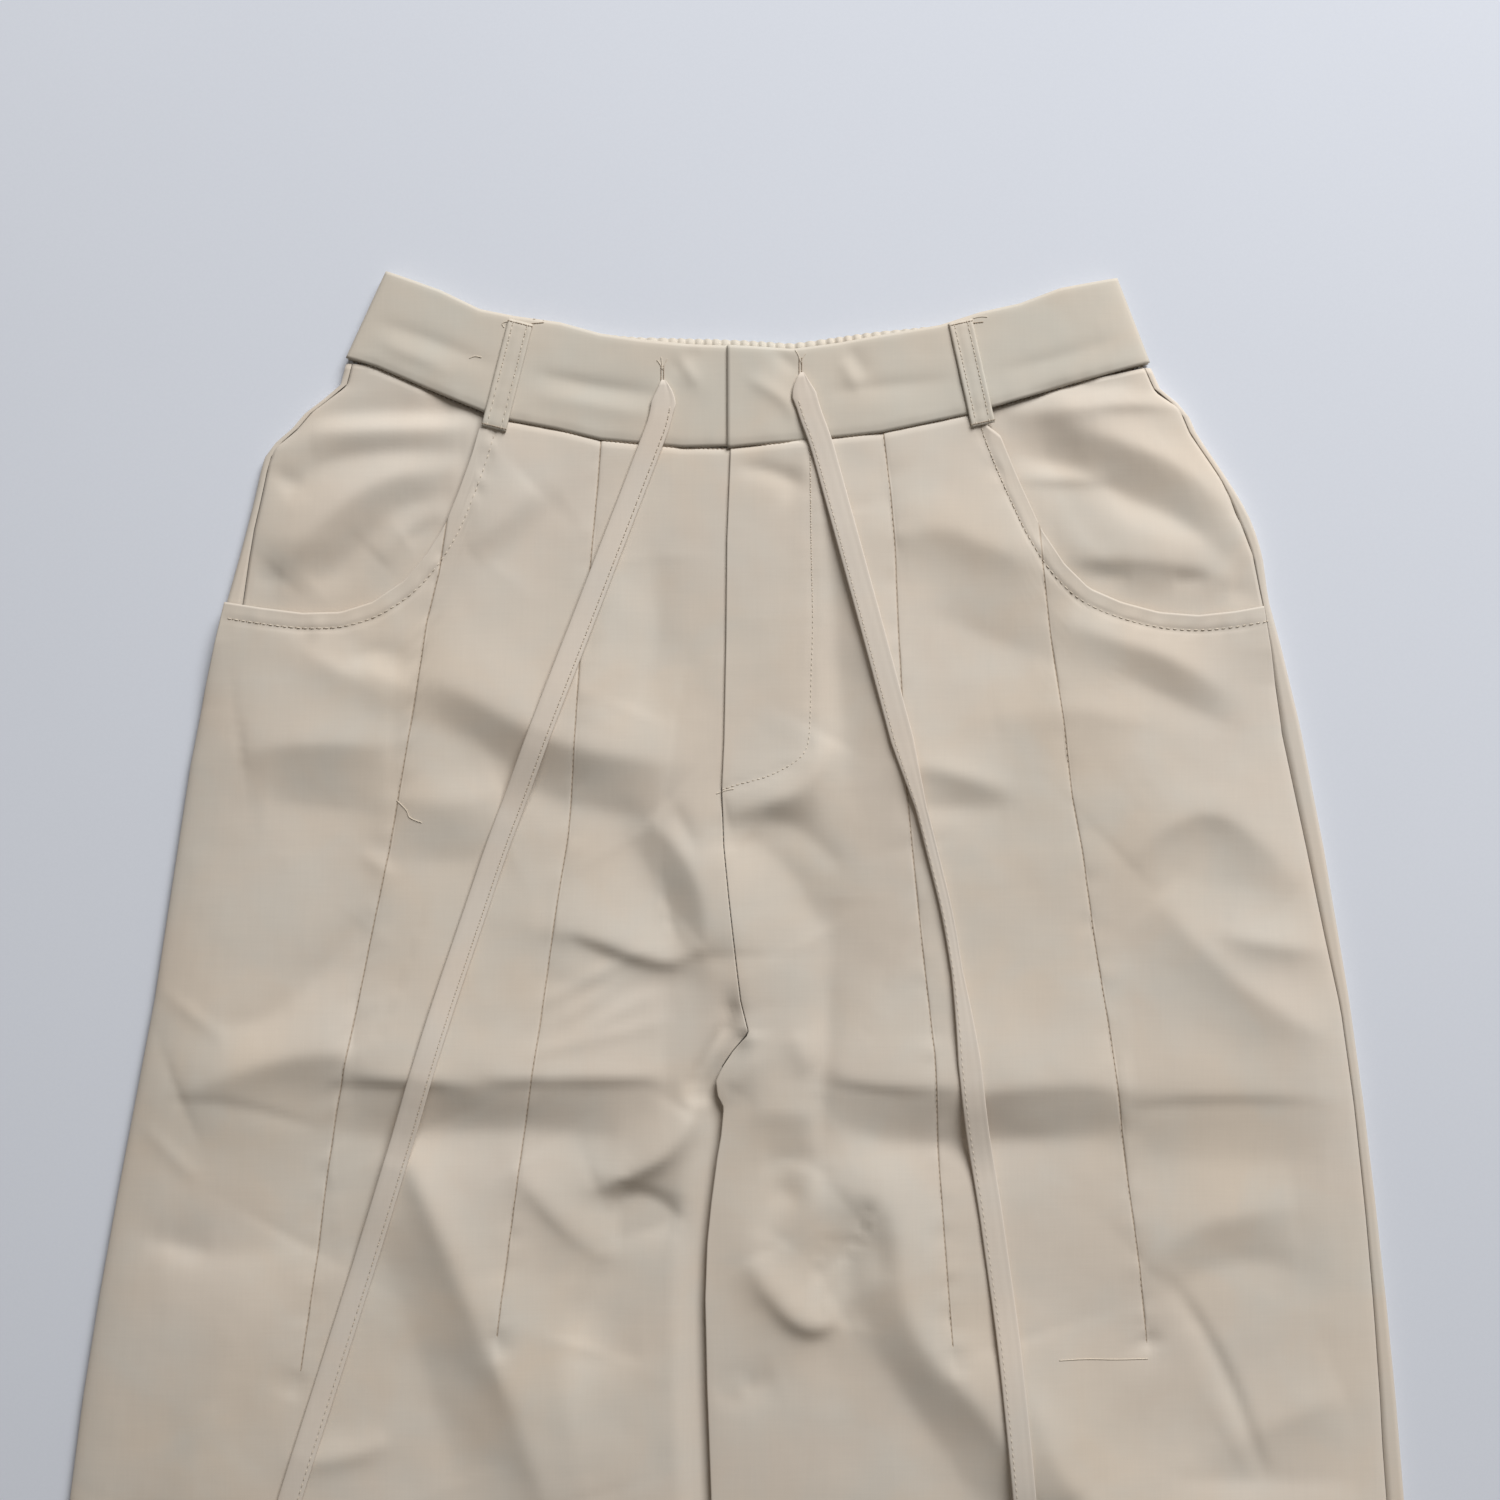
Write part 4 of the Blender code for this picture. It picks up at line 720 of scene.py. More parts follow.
CLOTH = cloth_look("cream_poplin", (0.68, 0.60, 0.51), (0.69, 0.595, 0.485), (0.655, 0.61, 0.535),
                   (0.46, 0.36, 0.26))
BAND = cloth_look("cream_poplin_band", (0.64, 0.58, 0.49), (0.65, 0.57, 0.47), (0.61, 0.58, 0.505),
                  (0.44, 0.35, 0.26))
TIE = cloth_look("cream_poplin_tie", (0.70, 0.62, 0.53), (0.71, 0.615, 0.515), (0.68, 0.625, 0.55),
                 (0.46, 0.36, 0.27))
print("cloth finishes:", CLOTH.name, BAND.name, TIE.name)

# %% [markdown]
# Sewing thread is smoother than the cloth and twisted, so a fine slanted stripe in its bump is enough.
# The needle pulls each stitch into the cloth, which leaves small shaded dips. Two dark brown finishes
# paint that shade onto small beads.

# %% Thread finishes
def thread_look(name, colour, dark):
    made, tree, shader = new_material(name)
    spot = node(tree, "ShaderNodeTexCoord").outputs["Object"]
    twist = node(tree, "ShaderNodeTexWave", {"Vector": spot, "Scale": 1500.0, "Distortion": 2.0},
                 wave_type="BANDS", bands_direction="DIAGONAL")
    fuzz = node(tree, "ShaderNodeTexNoise", {"Vector": spot, "Scale": 800.0, "Detail": 2.0})
    shade = node(tree, "ShaderNodeMix", {0: fuzz.outputs["Fac"], 6: (*colour, 1), 7: (*dark, 1)},
                 data_type="RGBA")
    ridge = node(tree, "ShaderNodeBump", {"Height": twist.outputs["Fac"], "Strength": 0.3,
                                          "Distance": 0.0001})
    tree.links.new(shade.outputs[2], shader.inputs["Base Color"])
    tree.links.new(ridge.outputs["Normal"], shader.inputs["Normal"])
    shader.inputs["Roughness"].default_value = 0.55
    shader.inputs["Sheen Weight"].default_value = 0.2
    return made


THREAD = thread_look("cream_thread", (0.74, 0.67, 0.56), (0.62, 0.53, 0.42))
# painted shade: dark beads that stand for the shade in the dips of seams sewn from inside
DIP_SHADE_THREAD = thread_look("seam_dip_shade_thread", (0.40, 0.31, 0.22), (0.30, 0.22, 0.15))
# painted shade: dark beads that stand for the shade in the needle holes
HOLE_SHADE = thread_look("needle_hole_shade", (0.33, 0.235, 0.145), (0.25, 0.17, 0.10))
print("thread finishes:", THREAD.name, DIP_SHADE_THREAD.name, HOLE_SHADE.name)

# %% [markdown]
# Cloth pieces are grids of points. A grid is easy to shape, because its rows and columns can follow
# the garment's own lines, and the same grid lowered by the wall closes it into a thin shell. The
# helper also stores the distance to the nearest seam on each point.

# %% Mesh helpers
NO_SEAM = 20.0              # the distance, in millimetres, stored where no seam is near


def add_piece(name, points, faces, look, stands_for, seam=None):
    """A mesh object from points of (x, down, height). It rides on the garment's one body."""
    mesh = bpy.data.meshes.new(name)
    mesh.from_pydata([place(*p) for p in points], [], faces)
    mesh.validate()
    mesh.materials.append(look)
    mesh.polygons.foreach_set("use_smooth", [True] * len(mesh.polygons))
    if seam is not None:
        stored = mesh.attributes.new("seam", "FLOAT", "POINT")
        stored.data.foreach_set("value", np.asarray(seam, np.float32))
    obj = bpy.data.objects.new(name, mesh)
    bpy.context.scene.collection.objects.link(obj)
    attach(obj, "root")
    if stands_for:
        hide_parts(*stands_for)
    return obj


def grid_faces(rows, columns, flip=False):
    r, c = np.meshgrid(np.arange(rows - 1), np.arange(columns - 1), indexing="ij")
    a = (r * columns + c).ravel()
    quads = np.stack([a, a + columns, a + columns + 1, a + 1], -1)
    return [tuple(map(int, q)) for q in (quads[:, ::-1] if flip else quads)]


def shell(name, x, down, top, wall, look, stands_for, seam=None):
    """A closed piece: a grid of points, and the same grid again, lower by the wall."""
    rows, columns = x.shape
    upper = np.stack([x, down, top], -1).reshape(-1, 3)
    lower = np.stack([x, down, top - wall], -1).reshape(-1, 3)
    count = rows * columns
    faces = grid_faces(rows, columns)
    faces += [tuple(i + count for i in face[::-1]) for face in grid_faces(rows, columns)]
    rim = [c for c in range(columns)]
    rim += [r * columns + columns - 1 for r in range(1, rows)]
    rim += [(rows - 1) * columns + c for c in range(columns - 2, -1, -1)]
    rim += [r * columns for r in range(rows - 2, 0, -1)]
    for a, b in zip(rim, rim[1:] + rim[:1]):
        faces.append((a, b, b + count, a + count))
    seam = np.full(count, NO_SEAM) if seam is None else np.asarray(seam).ravel()
    points = np.concatenate([upper, lower])
    return add_piece(name, points, faces, look, stands_for, np.r_[seam, seam])


print("mesh helpers ready")

# %% [markdown]
# A trouser front has lines of its own: the side, two long darts and the centre. The grid's columns
# follow them, with a few close columns beside each, so that a sewn groove is sharp where it should be
# and the rest stays light. Its rows bend at the top to follow the pocket and the waist.

# %% Grid lines of a front
CLOSE = (0.5, 1.2, 2.4)    # millimetres from a dart


def fan(line_a, line_b, after, before, step_count):
    """Lines from one guide line to the next: close ones beside each, then even ones between."""
    made = [lambda down, s=s: line_a(down) + s for s in after]
    low, high = after[-1], before[-1]
    for i in range(1, step_count):
        t = i / step_count
        made.append(lambda down, t=t: (line_a(down) + low) * (1 - t) + (line_b(down) - high) * t)
    return made + [lambda down, s=s: line_b(down) - s for s in before[::-1]]


def top_of_column(column, edge):
    """Where a column meets the top edge, a table of (x, down)."""
    low, high = 20.0, BLEND_LEVEL - 20
    for _ in range(30):
        middle = (low + high) / 2
        if middle < value(edge, column(middle)):
            low = middle
        else:
            high = middle
    return high


def rows_of(levels, columns, edge):
    levels = np.asarray(levels, float)
    share = np.clip((BLEND_LEVEL - levels) / (BLEND_LEVEL - levels[0]), 0, 1)
    x = np.zeros((len(levels), len(columns)))
    down = np.zeros_like(x)
    for c, column in enumerate(columns):
        top = top_of_column(column, edge)
        down[:, c] = np.where(levels < BLEND_LEVEL, BLEND_LEVEL - (BLEND_LEVEL - top) * share, levels)
        x[:, c] = column(down[:, c])
    return x, down


def lower_seam(x_from, x_to):
    """The top edge of what is sewn into the waistband, just under the band."""
    return [(x, d - TUCK) for x, d in WAIST_SEAM if x_from < x < x_to]


FINE = 2.1                  # row spacing in the upper half, which the camera sees
LEVELS = np.r_[74, np.arange(75.5, 548, FINE), np.arange(550, 1000, 7.5), 1002, 1007, LENGTH]
print("rows of a front:", len(LEVELS))

# %% [markdown]
# Both fronts use the same steps. The height comes from the folds, then the darts sink in, the outer
# edge rolls down to the back, and the turned hem along the pocket adds its own thickness with small
# puckers that the topstitching pulls in.

# %% Heights of the two fronts
HEM = 25.0
POCKET_HEM = 6.6            # the topstitching's distance from the pocket edge
SCOOP_LENGTH = 170.0        # along a pocket edge


def pocket_hem(x, down, scoop, seed):
    """The turned edge of a pocket: a flat band, a stitched groove and puckers between them."""
    away_from, _, along = to_path(x, down, scoop)
    run = along * SCOOP_LENGTH
    band = 0.35 * ease((POCKET_HEM + 0.6 - away_from) / 1.2)
    groove = 0.4 * np.exp(-(((away_from - POCKET_HEM) / 1.1) ** 2))
    tucks = (uneven(run, 0, 5.2, seed) + 0.6 * uneven(run + away_from, 4, 3.1, seed + 1))
    return band - groove + 0.34 * tucks * np.exp(-(((away_from - POCKET_HEM + 1) / 4.5) ** 2))


def under_waist(x, down):
    """Small gathers where the front goes into the waist seam, and its edge, tucked under the band."""
    below = down - value(WAIST_SEAM, x)
    gathers = 0.26 * uneven(x + 0.3 * below, 0, 7, 33) * np.exp(-((below / 9) ** 2)) * (below > -5)
    return gathers - 0.25 * np.exp(-((below / 1.5) ** 2)) - 0.95 * ease((0.15 - below) / 0.5)


def sewn_distance(x, down, darts):
    """Distance to the nearest dart that is sewn at this level."""
    nearest = np.full(x.shape, NO_SEAM)
    for table, end in darts:
        gap_to = np.abs(x - value(table, down)) + 6 * np.clip((down - end) / 6, 0, 3)
        nearest = np.minimum(nearest, gap_to)
    return nearest


def side_line(outline, strip, sign):
    """Where the back's strip meets the front, beside the outline."""
    return lambda down: value(outline, down) + sign * (ROLL + value(strip, down))


right_seam = side_line(RIGHT_OUTLINE, RIGHT_STRIP, -1)
left_seam = side_line(LEFT_OUTLINE, LEFT_STRIP, 1)
LEFT_DARTS = ((LEFT_OUTER_DART, 459), (LEFT_INNER_DART, 444))
RIGHT_DARTS = ((RIGHT_OUTER_DART, 447), (RIGHT_INNER_DART, 448))


def left_front_height(x, down):
    height = cloth_height(x, down) + pocket_hem(x, down, LEFT_SCOOP, 31) + under_waist(x, down)
    height += dart(x, down, *LEFT_DARTS[0], 11) + dart(x, down, *LEFT_DARTS[1], 12)
    edge = value(LEFT_EDGE_HEIGHT, down)
    height = edge + (height - edge) * roll_in(x - value(LEFT_OUTLINE, down))
    reach = np.minimum(value(RIGHT_FRONT_EDGE, down), value(LEFT_FRONT_EDGE, down) + 3)
    low = ease((x - (reach - 15)) / 13) * ease((down - 316) / 4)
    height = height + (value(LEFT_INNER_HEIGHT, down) - height) * low
    return height + 0.25 * ease((down - (LENGTH - HEM)) / 2)


def right_front_height(x, down):
    height = cloth_height(x, down) + pocket_hem(x, down, RIGHT_SCOOP, 41) + under_waist(x, down)
    height += dart(x, down, *RIGHT_DARTS[0], 21) + dart(x, down, *RIGHT_DARTS[1], 22)
    from_stitch = to_path(x, down, FLY_STITCH)[0]
    height -= 0.3 * np.exp(-((from_stitch / 1.2) ** 2))
    height += 0.14 * uneven(down, 0, 4, 51) * np.exp(-((from_stitch / 4) ** 2))
    on_leg = ease((8 - x) / 6) * ease((down - 322) / 8) * ease((640 - down) / 20)
    height = np.maximum(height, LEG_EDGE * on_leg)
    height = height + FLY_LIFT * ease((42 - x) / 12) * ease((232 - down) / 14)
    edge = value(RIGHT_INNER_HEIGHT, down)
    free = ease((down - 318) / 8)
    inner = 1 - roll_in(x - value(RIGHT_FRONT_EDGE, down))
    height = height + (edge - height) * inner * free
    outer = 1 - roll_in(right_seam(down) - x)
    height = height + (value(RIGHT_EDGE_HEIGHT, down) - height) * outer
    return height + 0.25 * ease((down - (LENGTH - HEM)) / 2)


print("fly stitch:", round(sum(math.dist(a, b) for a, b in zip(FLY_STITCH, FLY_STITCH[1:]))), "mm")

# %% [markdown]
# Now both fronts are laid out. Each is three fans of lines: from one edge to a dart, between the darts
# and from the second dart to the other edge. Lines crowd together at the sides, where the cloth rolls
# down and a coarse grid would show corners.

# %% Left and right fronts
SIDE_STEPS = (0, 0.5, 1.1, 1.9, 3.0, 4.5, 6.3)
lines = fan(line(LEFT_OUTLINE), line(LEFT_OUTER_DART), SIDE_STEPS, (0, *CLOSE), 42)
lines += fan(line(LEFT_OUTER_DART), line(LEFT_INNER_DART), CLOSE, (0, *CLOSE), 32)
lines += fan(line(LEFT_INNER_DART), line(LEFT_FRONT_EDGE), CLOSE, (0, 0.6, 1.3, 2.2), 38)
x, down = rows_of(LEVELS, lines, LEFT_SCOOP[:-1] + tuple(lower_seam(-104, 200)))
left_front = shell("front_left_cloth", x, down, left_front_height(x, down), WALL, CLOTH, ["front_left"],
                   sewn_distance(x, down, LEFT_DARTS))

lines = fan(line(RIGHT_FRONT_EDGE), line(RIGHT_INNER_DART), (0, 0.5, 1.1, 1.9, 3.0, 4.3), (0, *CLOSE), 38)
lines += fan(line(RIGHT_INNER_DART), line(RIGHT_OUTER_DART), CLOSE, (0, *CLOSE), 32)
lines += fan(line(RIGHT_OUTER_DART), lambda down: right_seam(down) - GAP, CLOSE, SIDE_STEPS, 38)
x, down = rows_of(LEVELS, lines, tuple(lower_seam(-200, 105)) + RIGHT_SCOOP[1:])
right_front = shell("front_right_cloth", x, down, right_front_height(x, down), WALL, CLOTH, ["front_right"],
                    sewn_distance(x, down, RIGHT_DARTS))
print("front faces:", len(left_front.data.polygons), len(right_front.data.polygons))

# %% [markdown]
# Behind each scooped pocket edge lies the hip piece, which is the pocket's inner side and the
# garment's yoke in one. Its four edges are known, so its points are spread between them, which is a
# Coons patch: each point is blended from the edges to its left, right, top and bottom.

# %% Hip pieces in the pockets
def along_path(path, count):
    """Points at even distances along a path of (x, down)."""
    path = np.asarray(path, float)
    steps = np.r_[0, np.cumsum(np.hypot(*np.diff(path, axis=0).T))]
    at = np.linspace(0, steps[-1], count)
    return np.stack([np.interp(at, steps, path[:, 0]), np.interp(at, steps, path[:, 1])], -1)


def patch(top, bottom, left, right, across, deep):
    """A grid that fills four edges. Edges run left to right and top to bottom."""
    top, bottom = along_path(top, across), along_path(bottom, across)
    left, right = along_path(left, deep), along_path(right, deep)
    u = np.linspace(0, 1, across)[None, :, None]
    v = np.linspace(0, 1, deep)[:, None, None]
    ends = (1 - u) * left[:, None] + u * right[:, None]
    sides = (1 - v) * top[None] + v * bottom[None]
    corners = (1 - v) * ((1 - u) * top[0] + u * top[-1]) + v * ((1 - u) * bottom[0] + u * bottom[-1])
    points = ends + sides - corners
    return points[..., 0], points[..., 1]


def yoke_height(x, down, scoop, outer_distance):
    from_scoop = to_path(x, down, scoop)[0]
    drop = 2.4 - 1.6 * ease((from_scoop - 14) / 18)
    height = cloth_height(x, down) + under_waist(x, down) - drop
    return STRIP_TOP + (height - STRIP_TOP) * roll_in(outer_distance)


LEFT_TOP, RIGHT_TOP = 38.6, 40.4    # where the back starts to turn round each side
levels = np.linspace(LEFT_TOP, 140, 60)
x, down = patch(
    top=[(left_seam(LEFT_TOP) + GAP, LEFT_TOP)] + lower_seam(-155, -97) + [(-93, 63.9)],
    right=[(-93, 63.9), (-99, 82), (-106, 100), (-114, 117), (-126, 133), (-138, 143)],
    bottom=[(-206.3, 151), (-181, 154.9), (-163, 154.4), (-148, 149.5), (-138, 143)],
    left=[(left_seam(d) + GAP, d) for d in levels] + [(-206.3, 151)],
    across=64, deep=62,
)
left_yoke = shell("pocket_yoke_left_cloth", x, down,
                  yoke_height(x, down, LEFT_SCOOP, x - left_seam(down) - GAP), WALL, CLOTH,
                  ["pocket_yoke_left"])
levels = np.linspace(RIGHT_TOP, 145, 60)
x, down = patch(
    top=[(93.5, 61.2)] + lower_seam(95, 166) + [(right_seam(RIGHT_TOP) - GAP, RIGHT_TOP)],
    left=[(93.5, 61.2), (98, 73), (107, 94), (116, 113), (126, 128), (137, 140)],
    bottom=[(137, 140), (156, 149.5), (174, 154.5), (192, 155.8), (215, 153.2)],
    right=[(right_seam(d) - GAP, d) for d in levels] + [(right_seam(153) - GAP - 4, 153.2)],
    across=64, deep=62,
)
right_yoke = shell("pocket_yoke_right_cloth", x, down,
                   yoke_height(x, down, RIGHT_SCOOP, right_seam(down) - GAP - x), WALL, CLOTH,
                   ["pocket_yoke_right"])
print("hip pieces:", left_yoke.name, right_yoke.name)

# %% [markdown]
# Each back lies flat on the table and turns up round the side, where a narrow strip of it shows
# beside the front. The grid's rows are cross-sections: across the floor, round the turn, and back
# over the top. On the left below the pocket it doesn't turn, and its edge lies flat instead. Shallow
# troughs from the way that it was laid run across the side that nobody sees.

# %% Backs
BACK_FOLDS = (
    ("left hollow", 1.3, 16, 10, ((-190, 230), (-120, 262), (-60, 330))),
    ("left knee", 1.2, 14, 9, ((-230, 420), (-150, 400), (-60, 412))),
    ("left shin", 1.3, 16, 12, ((-200, 560), (-160, 680), (-120, 800))),
    ("left seat", 1.0, 12, 9, ((-130, 120), (-80, 150), (-40, 210))),
    ("right hollow", 1.3, 14, 10, ((60, 250), (120, 300), (200, 330))),
    ("right knee", 1.2, 15, 9, ((60, 440), (150, 420), (230, 436))),
    ("right shin", 1.3, 16, 12, ((210, 580), (160, 700), (140, 830))),
    ("right seat", 1.0, 12, 9, ((50, 190), (90, 150), (140, 120))),
)


def back_height(x, down):
    """How far the back's cloth is clear of the table. Most of it lies flat."""
    lifted = relief(x, down, BACK_FOLDS, 2.0, 2.0) + 0.2 * uneven(x, down, 40, 71)
    return np.clip(lifted, 0, 1.6)


def turned(count):
    """Points round the side: distance in from the edge, and height."""
    angle = np.linspace(0, np.pi, count)
    return ROLL * (1 - np.sin(angle)), ROLL * (1 - np.cos(angle))


def back(name, outline, strip, wrap, inner, shoulder, foot, side, side_top, stands_for):
    turn_x, turn_z = turned(11)
    flat_x, flat_z = np.linspace(3.8, 0.3, 11), 0.4 * np.linspace(0, 1, 11) ** 3
    spread = np.linspace(0, 1, 27)[1:-1]
    levels = np.r_[74, np.arange(76, 548, 5.0), np.arange(550, 1001, 9.0), 1005, LENGTH]
    share = np.clip((BLEND_LEVEL - levels) / (BLEND_LEVEL - levels[0]), 0, 1)
    starts = [value(inner, 60), shoulder(60), foot(60)]
    inside_end = value(outline, 60) + side * 9
    starts += [starts[2] + s * (inside_end - starts[2]) for s in spread]
    tops = np.array([float(value(WAIST_SEAM, s)) + GAP / 2 for s in starts] + [side_top] * 14)
    rows = []
    for level, part in zip(levels, share):
        downs = BLEND_LEVEL - (BLEND_LEVEL - tops) * part if level < BLEND_LEVEL else tops * 0 + level
        edge, turn = value(outline, downs[-1]), value(wrap, downs[-1])
        xs = [value(inner, downs[0]), shoulder(downs[1]), foot(downs[2])]
        count = len(spread)
        ends = value(outline, downs[3:3 + count]) + side * 9
        xs += list(xs[2] + spread * (ends - xs[2]))
        xs += [edge + side * 7]
        xs += list(edge + side * (flat_x + (turn_x - flat_x) * turn))
        reach = (ROLL + value(strip, downs[-1])) * turn
        xs += [edge + side * (ROLL + (reach - ROLL) * 0.5) * turn, edge + side * reach]
        lift = LEG_LIFT * value(BACK_LIFT, downs[:2]) if side < 0 else np.zeros(2)
        inside = back_height(np.array(xs[2:3 + count]), downs[2:3 + count])
        fade = np.minimum(1, np.minimum(np.arange(count + 1), count - np.arange(count + 1)) / 4)
        top = 0.9 + (2 * ROLL - 0.9) * turn
        zs = np.r_[lift, inside * fade, 0, flat_z + (turn_z - flat_z) * turn, top, top]
        rows.append(np.stack([xs, downs, zs], -1))
    points = np.array(rows)
    columns = points.shape[1]
    made = add_piece(name, points.reshape(-1, 3), grid_faces(len(levels), columns, flip=side < 0), CLOTH,
                     stands_for, np.full(points.shape[0] * columns, NO_SEAM))
    solid = made.modifiers.new("wall", "SOLIDIFY")
    solid.thickness = WALL * MM
    solid.offset = -1
    return made


back_left = back("back_left_cloth", LEFT_OUTLINE, LEFT_STRIP, LEFT_WRAP, LEFT_BACK_EDGE,
                 line(LEFT_BACK_EDGE, -8), line(LEFT_BACK_EDGE, -24), 1, LEFT_TOP, ["back_left"])
back_right = back("back_right_cloth", RIGHT_OUTLINE, RIGHT_STRIP, ((30, 1), (1010, 1)), RIGHT_BACK_EDGE,
                  lambda down: np.maximum(value(RIGHT_BACK_EDGE, down) + 2.5, -0.8),
                  lambda down: np.maximum(value(RIGHT_BACK_EDGE, down) + 12, 8.0), -1, RIGHT_TOP,
                  ["back_right"])
print("back faces:", len(back_left.data.polygons), len(back_right.data.polygons))

# %% [markdown]
# The front waistband is a folded band in two halves. The right half laps over the left at the fly.
# It hides the elastic, which gathers only the back, so the front stays smooth, with faint creases
# along it where it was pressed and where the tie pulls at its eyelets.

# %% Front waistband
BAND_LAP = 1.05             # how much higher the right half lies where it laps over the left


def band_height(x, down, seed):
    sides = np.minimum(x - value(((0, -146.7), (36.3, -163.4)), down),
                       value(((2.9, 158.8), (38.3, 172.5)), down) - x)
    upper = down - value(WAIST_TOP, x)
    lower = value(WAIST_SEAM, x) - down
    height = cloth_height(x, down) + 0.5 + 0.12 * uneven(x, down, 19, seed)
    height -= 0.4 * np.exp(-((upper / 1.1) ** 2)) + 0.6 * np.exp(-((lower / 2.2) ** 2))
    height += 0.16 * uneven(x, 0, 4.5, seed + 1) * np.exp(-((lower / 4) ** 2))
    return 4.9 + (height - 4.9) * roll_in(sides + 0.2)


top_left = [(x, d) for x, d in WAIST_TOP if x < -5] + [(6, 31.9)]
seam_left = [(x, d - GAP / 2) for x, d in WAIST_SEAM if x < -5] + [(6, 73.2)]
x, down = patch(top_left, seam_left, [top_left[0], seam_left[0]], [top_left[-1], seam_left[-1]], 120, 30)
left_band = shell("waistband_front_left_cloth", x, down, band_height(x, down, 81), BAND_WALL, BAND,
                  ["waistband_front_left"])
top_right = [(-4, 31.3)] + [(x, d) for x, d in WAIST_TOP if x > 0]
seam_right = [(-4, 74.2)] + [(x, d - GAP / 2) for x, d in WAIST_SEAM if x > 0]
x, down = patch(top_right, seam_right, [top_right[0], seam_right[0]], [top_right[-1], seam_right[-1]],
                120, 30)
lapped = band_height(x, down, 81) + BAND_LAP * ease((30 - x) / 22)
right_band = shell("waistband_front_right_cloth", x, down, lapped, BAND_WALL, BAND,
                   ["waistband_front_right"])
print("front band:", left_band.name, right_band.name)

# %% [markdown]
# The back waistband is gathered on elastic into about eighty small upright pleats. From above only
# its top edge shows, as a fine frill behind the front band. The wave gets flatter towards the seam,
# and no two pleats are quite the same height.

# %% Gathered back waistband
GATHERS = 80
GATHER_DEPTH = 1.9
PER_GATHER = 6              # grid columns
DEEP = 18                   # grid rows
top_back = [(x, d - np.interp(x, (-60, -20, 50, 90), (0, 3, 3, 0))) for x, d in WAIST_TOP]
seam_back = [(-163.4, 36.2)] + [(x, d + GAP / 2 - 0.4) for x, d in WAIST_SEAM[1:-1]] + [(172.5, 38.2)]
across = GATHERS * PER_GATHER + 1
x, down = patch(top_back, seam_back, [top_back[0], seam_back[0]], [top_back[-1], seam_back[-1]],
                across, DEEP)
turns = np.arange(across) / PER_GATHER + 0.35 * uneven(np.arange(across), 0, 17, 91)
wave = np.abs(np.sin(np.pi * turns))[None, :] ** 0.7 * np.linspace(1, 0.25, DEEP)[:, None]
wave = wave * (0.75 + 0.25 * uneven(np.arange(across), 0, 9, 92))[None, :]
frill = 0.3 * np.sin(np.pi * turns)[None, :] * np.linspace(1, 0, DEEP)[:, None] ** 3
shell("waistband_back_gathers", x, down - np.abs(frill), 1.0 + GATHER_DEPTH * wave, 0.9, BAND,
      ["waistband_back"])
print("gathers:", GATHERS)

# %% [markdown]
# Loops, ties and stitches lie on the cloth, so they need to know how high it is. A ray dropped from
# above onto the finished pieces finds it. A search tree over each piece makes this fast.

# %% Finding the surface
def surface_finder(objects):
    """A function that gives the height of the highest piece under (x, down), in millimetres."""
    trees = []
    for obj in objects:
        mesh = obj.data
        corners = [v.co for v in mesh.vertices]
        trees.append(BVHTree.FromPolygons(corners, [p.vertices for p in mesh.polygons]))

    def height(x, down):
        best = 0.0
        for tree in trees:
            hit = tree.ray_cast(Vector(place(x, down, 100)), Vector((0, 0, -1)))
            if hit[0] is not None:
                best = max(best, hit[0].z / MM)
        return best

    return height


UPPER = [left_band, right_band, left_front, right_front, left_yoke, right_yoke, back_left, back_right]
on_cloth = surface_finder(UPPER)
print("height on the band:", round(on_cloth(-60, 50), 2), "mm")

# %% [markdown]
# A belt loop is a narrow strip, folded double, that lies over the band with both ends sewn down. Its
# two edges are turned and a little thicker than its middle, and a row of stitches runs along each.

# %% Belt loops
LOOP_WALL = 1.0


def belt_loop(name, top, foot, width, node_name):
    direction = np.array(foot) - np.array(top)
    length = math.hypot(*direction)
    direction = direction / length
    across = np.array([direction[1], -direction[0]])
    if across[0] < 0:
        across = -across
    sides = np.array([-0.5, -0.47, -0.42, -0.34, -0.26, -0.12, 0, 0.12, 0.26, 0.34, 0.42, 0.47, 0.5]) * width
    profile = np.array([-0.5, -0.12, 0, -0.12, -0.28, -0.1, -0.05, -0.1, -0.28, -0.12, 0, -0.12, -0.5])
    rows = 48
    steps = np.linspace(0, length, rows)
    x = top[0] + steps[:, None] * direction[0] + sides[None, :] * across[0]
    down = top[1] + steps[:, None] * direction[1] + sides[None, :] * across[1]
    rest = np.array([max(on_cloth(x[r, c] + dx, down[r, c]) for c in (0, 3, 6, 9, 12) for dx in (-1, 1))
                     for r in range(rows)])
    rest = np.array([rest[max(0, r - 3):r + 4].max() for r in range(rows)])
    rest = np.convolve(np.pad(rest, 3, mode="edge"), np.ones(7) / 7, "valid")
    bow = 0.25 * np.sin(np.pi * steps / length)
    ends = -0.35 * np.exp(-((steps / 1.5) ** 2)) - 0.35 * np.exp(-(((length - steps) / 1.5) ** 2))
    ripple = 0.07 * uneven(steps[:, None] + across[0] * 3, sides[None, :], 3.4, 101)
    z = (rest + bow + ends)[:, None] + 0.12 + LOOP_WALL + profile[None, :] + ripple
    return shell(name, x, down, z, LOOP_WALL - 0.3, BAND, [node_name])


LOOPS = (
    ("belt_loop_left_cloth", (-90, 21.6), (-101.3, 66.3), 10.4, "belt_loop_left"),
    ("belt_loop_right_cloth", (92.9, 21.4), (102.5, 64.6), 10.0, "belt_loop_right"),
)
loops = [belt_loop(*row) for row in LOOPS]
print("belt loops:", len(loops))

# %% [markdown]
# The drawstring is a flat tie, sewn from a folded strip. Inside the band it isn't seen, so each free
# end is made from its eyelet on. It leaves the eyelet as a narrow fold, turns one corner and then
# runs flat down the front. The right one lies folded in half between the fly and the knee. The tie
# is a loft: a flat ring at each step of its path, half as wide and twice as thick where it's folded.

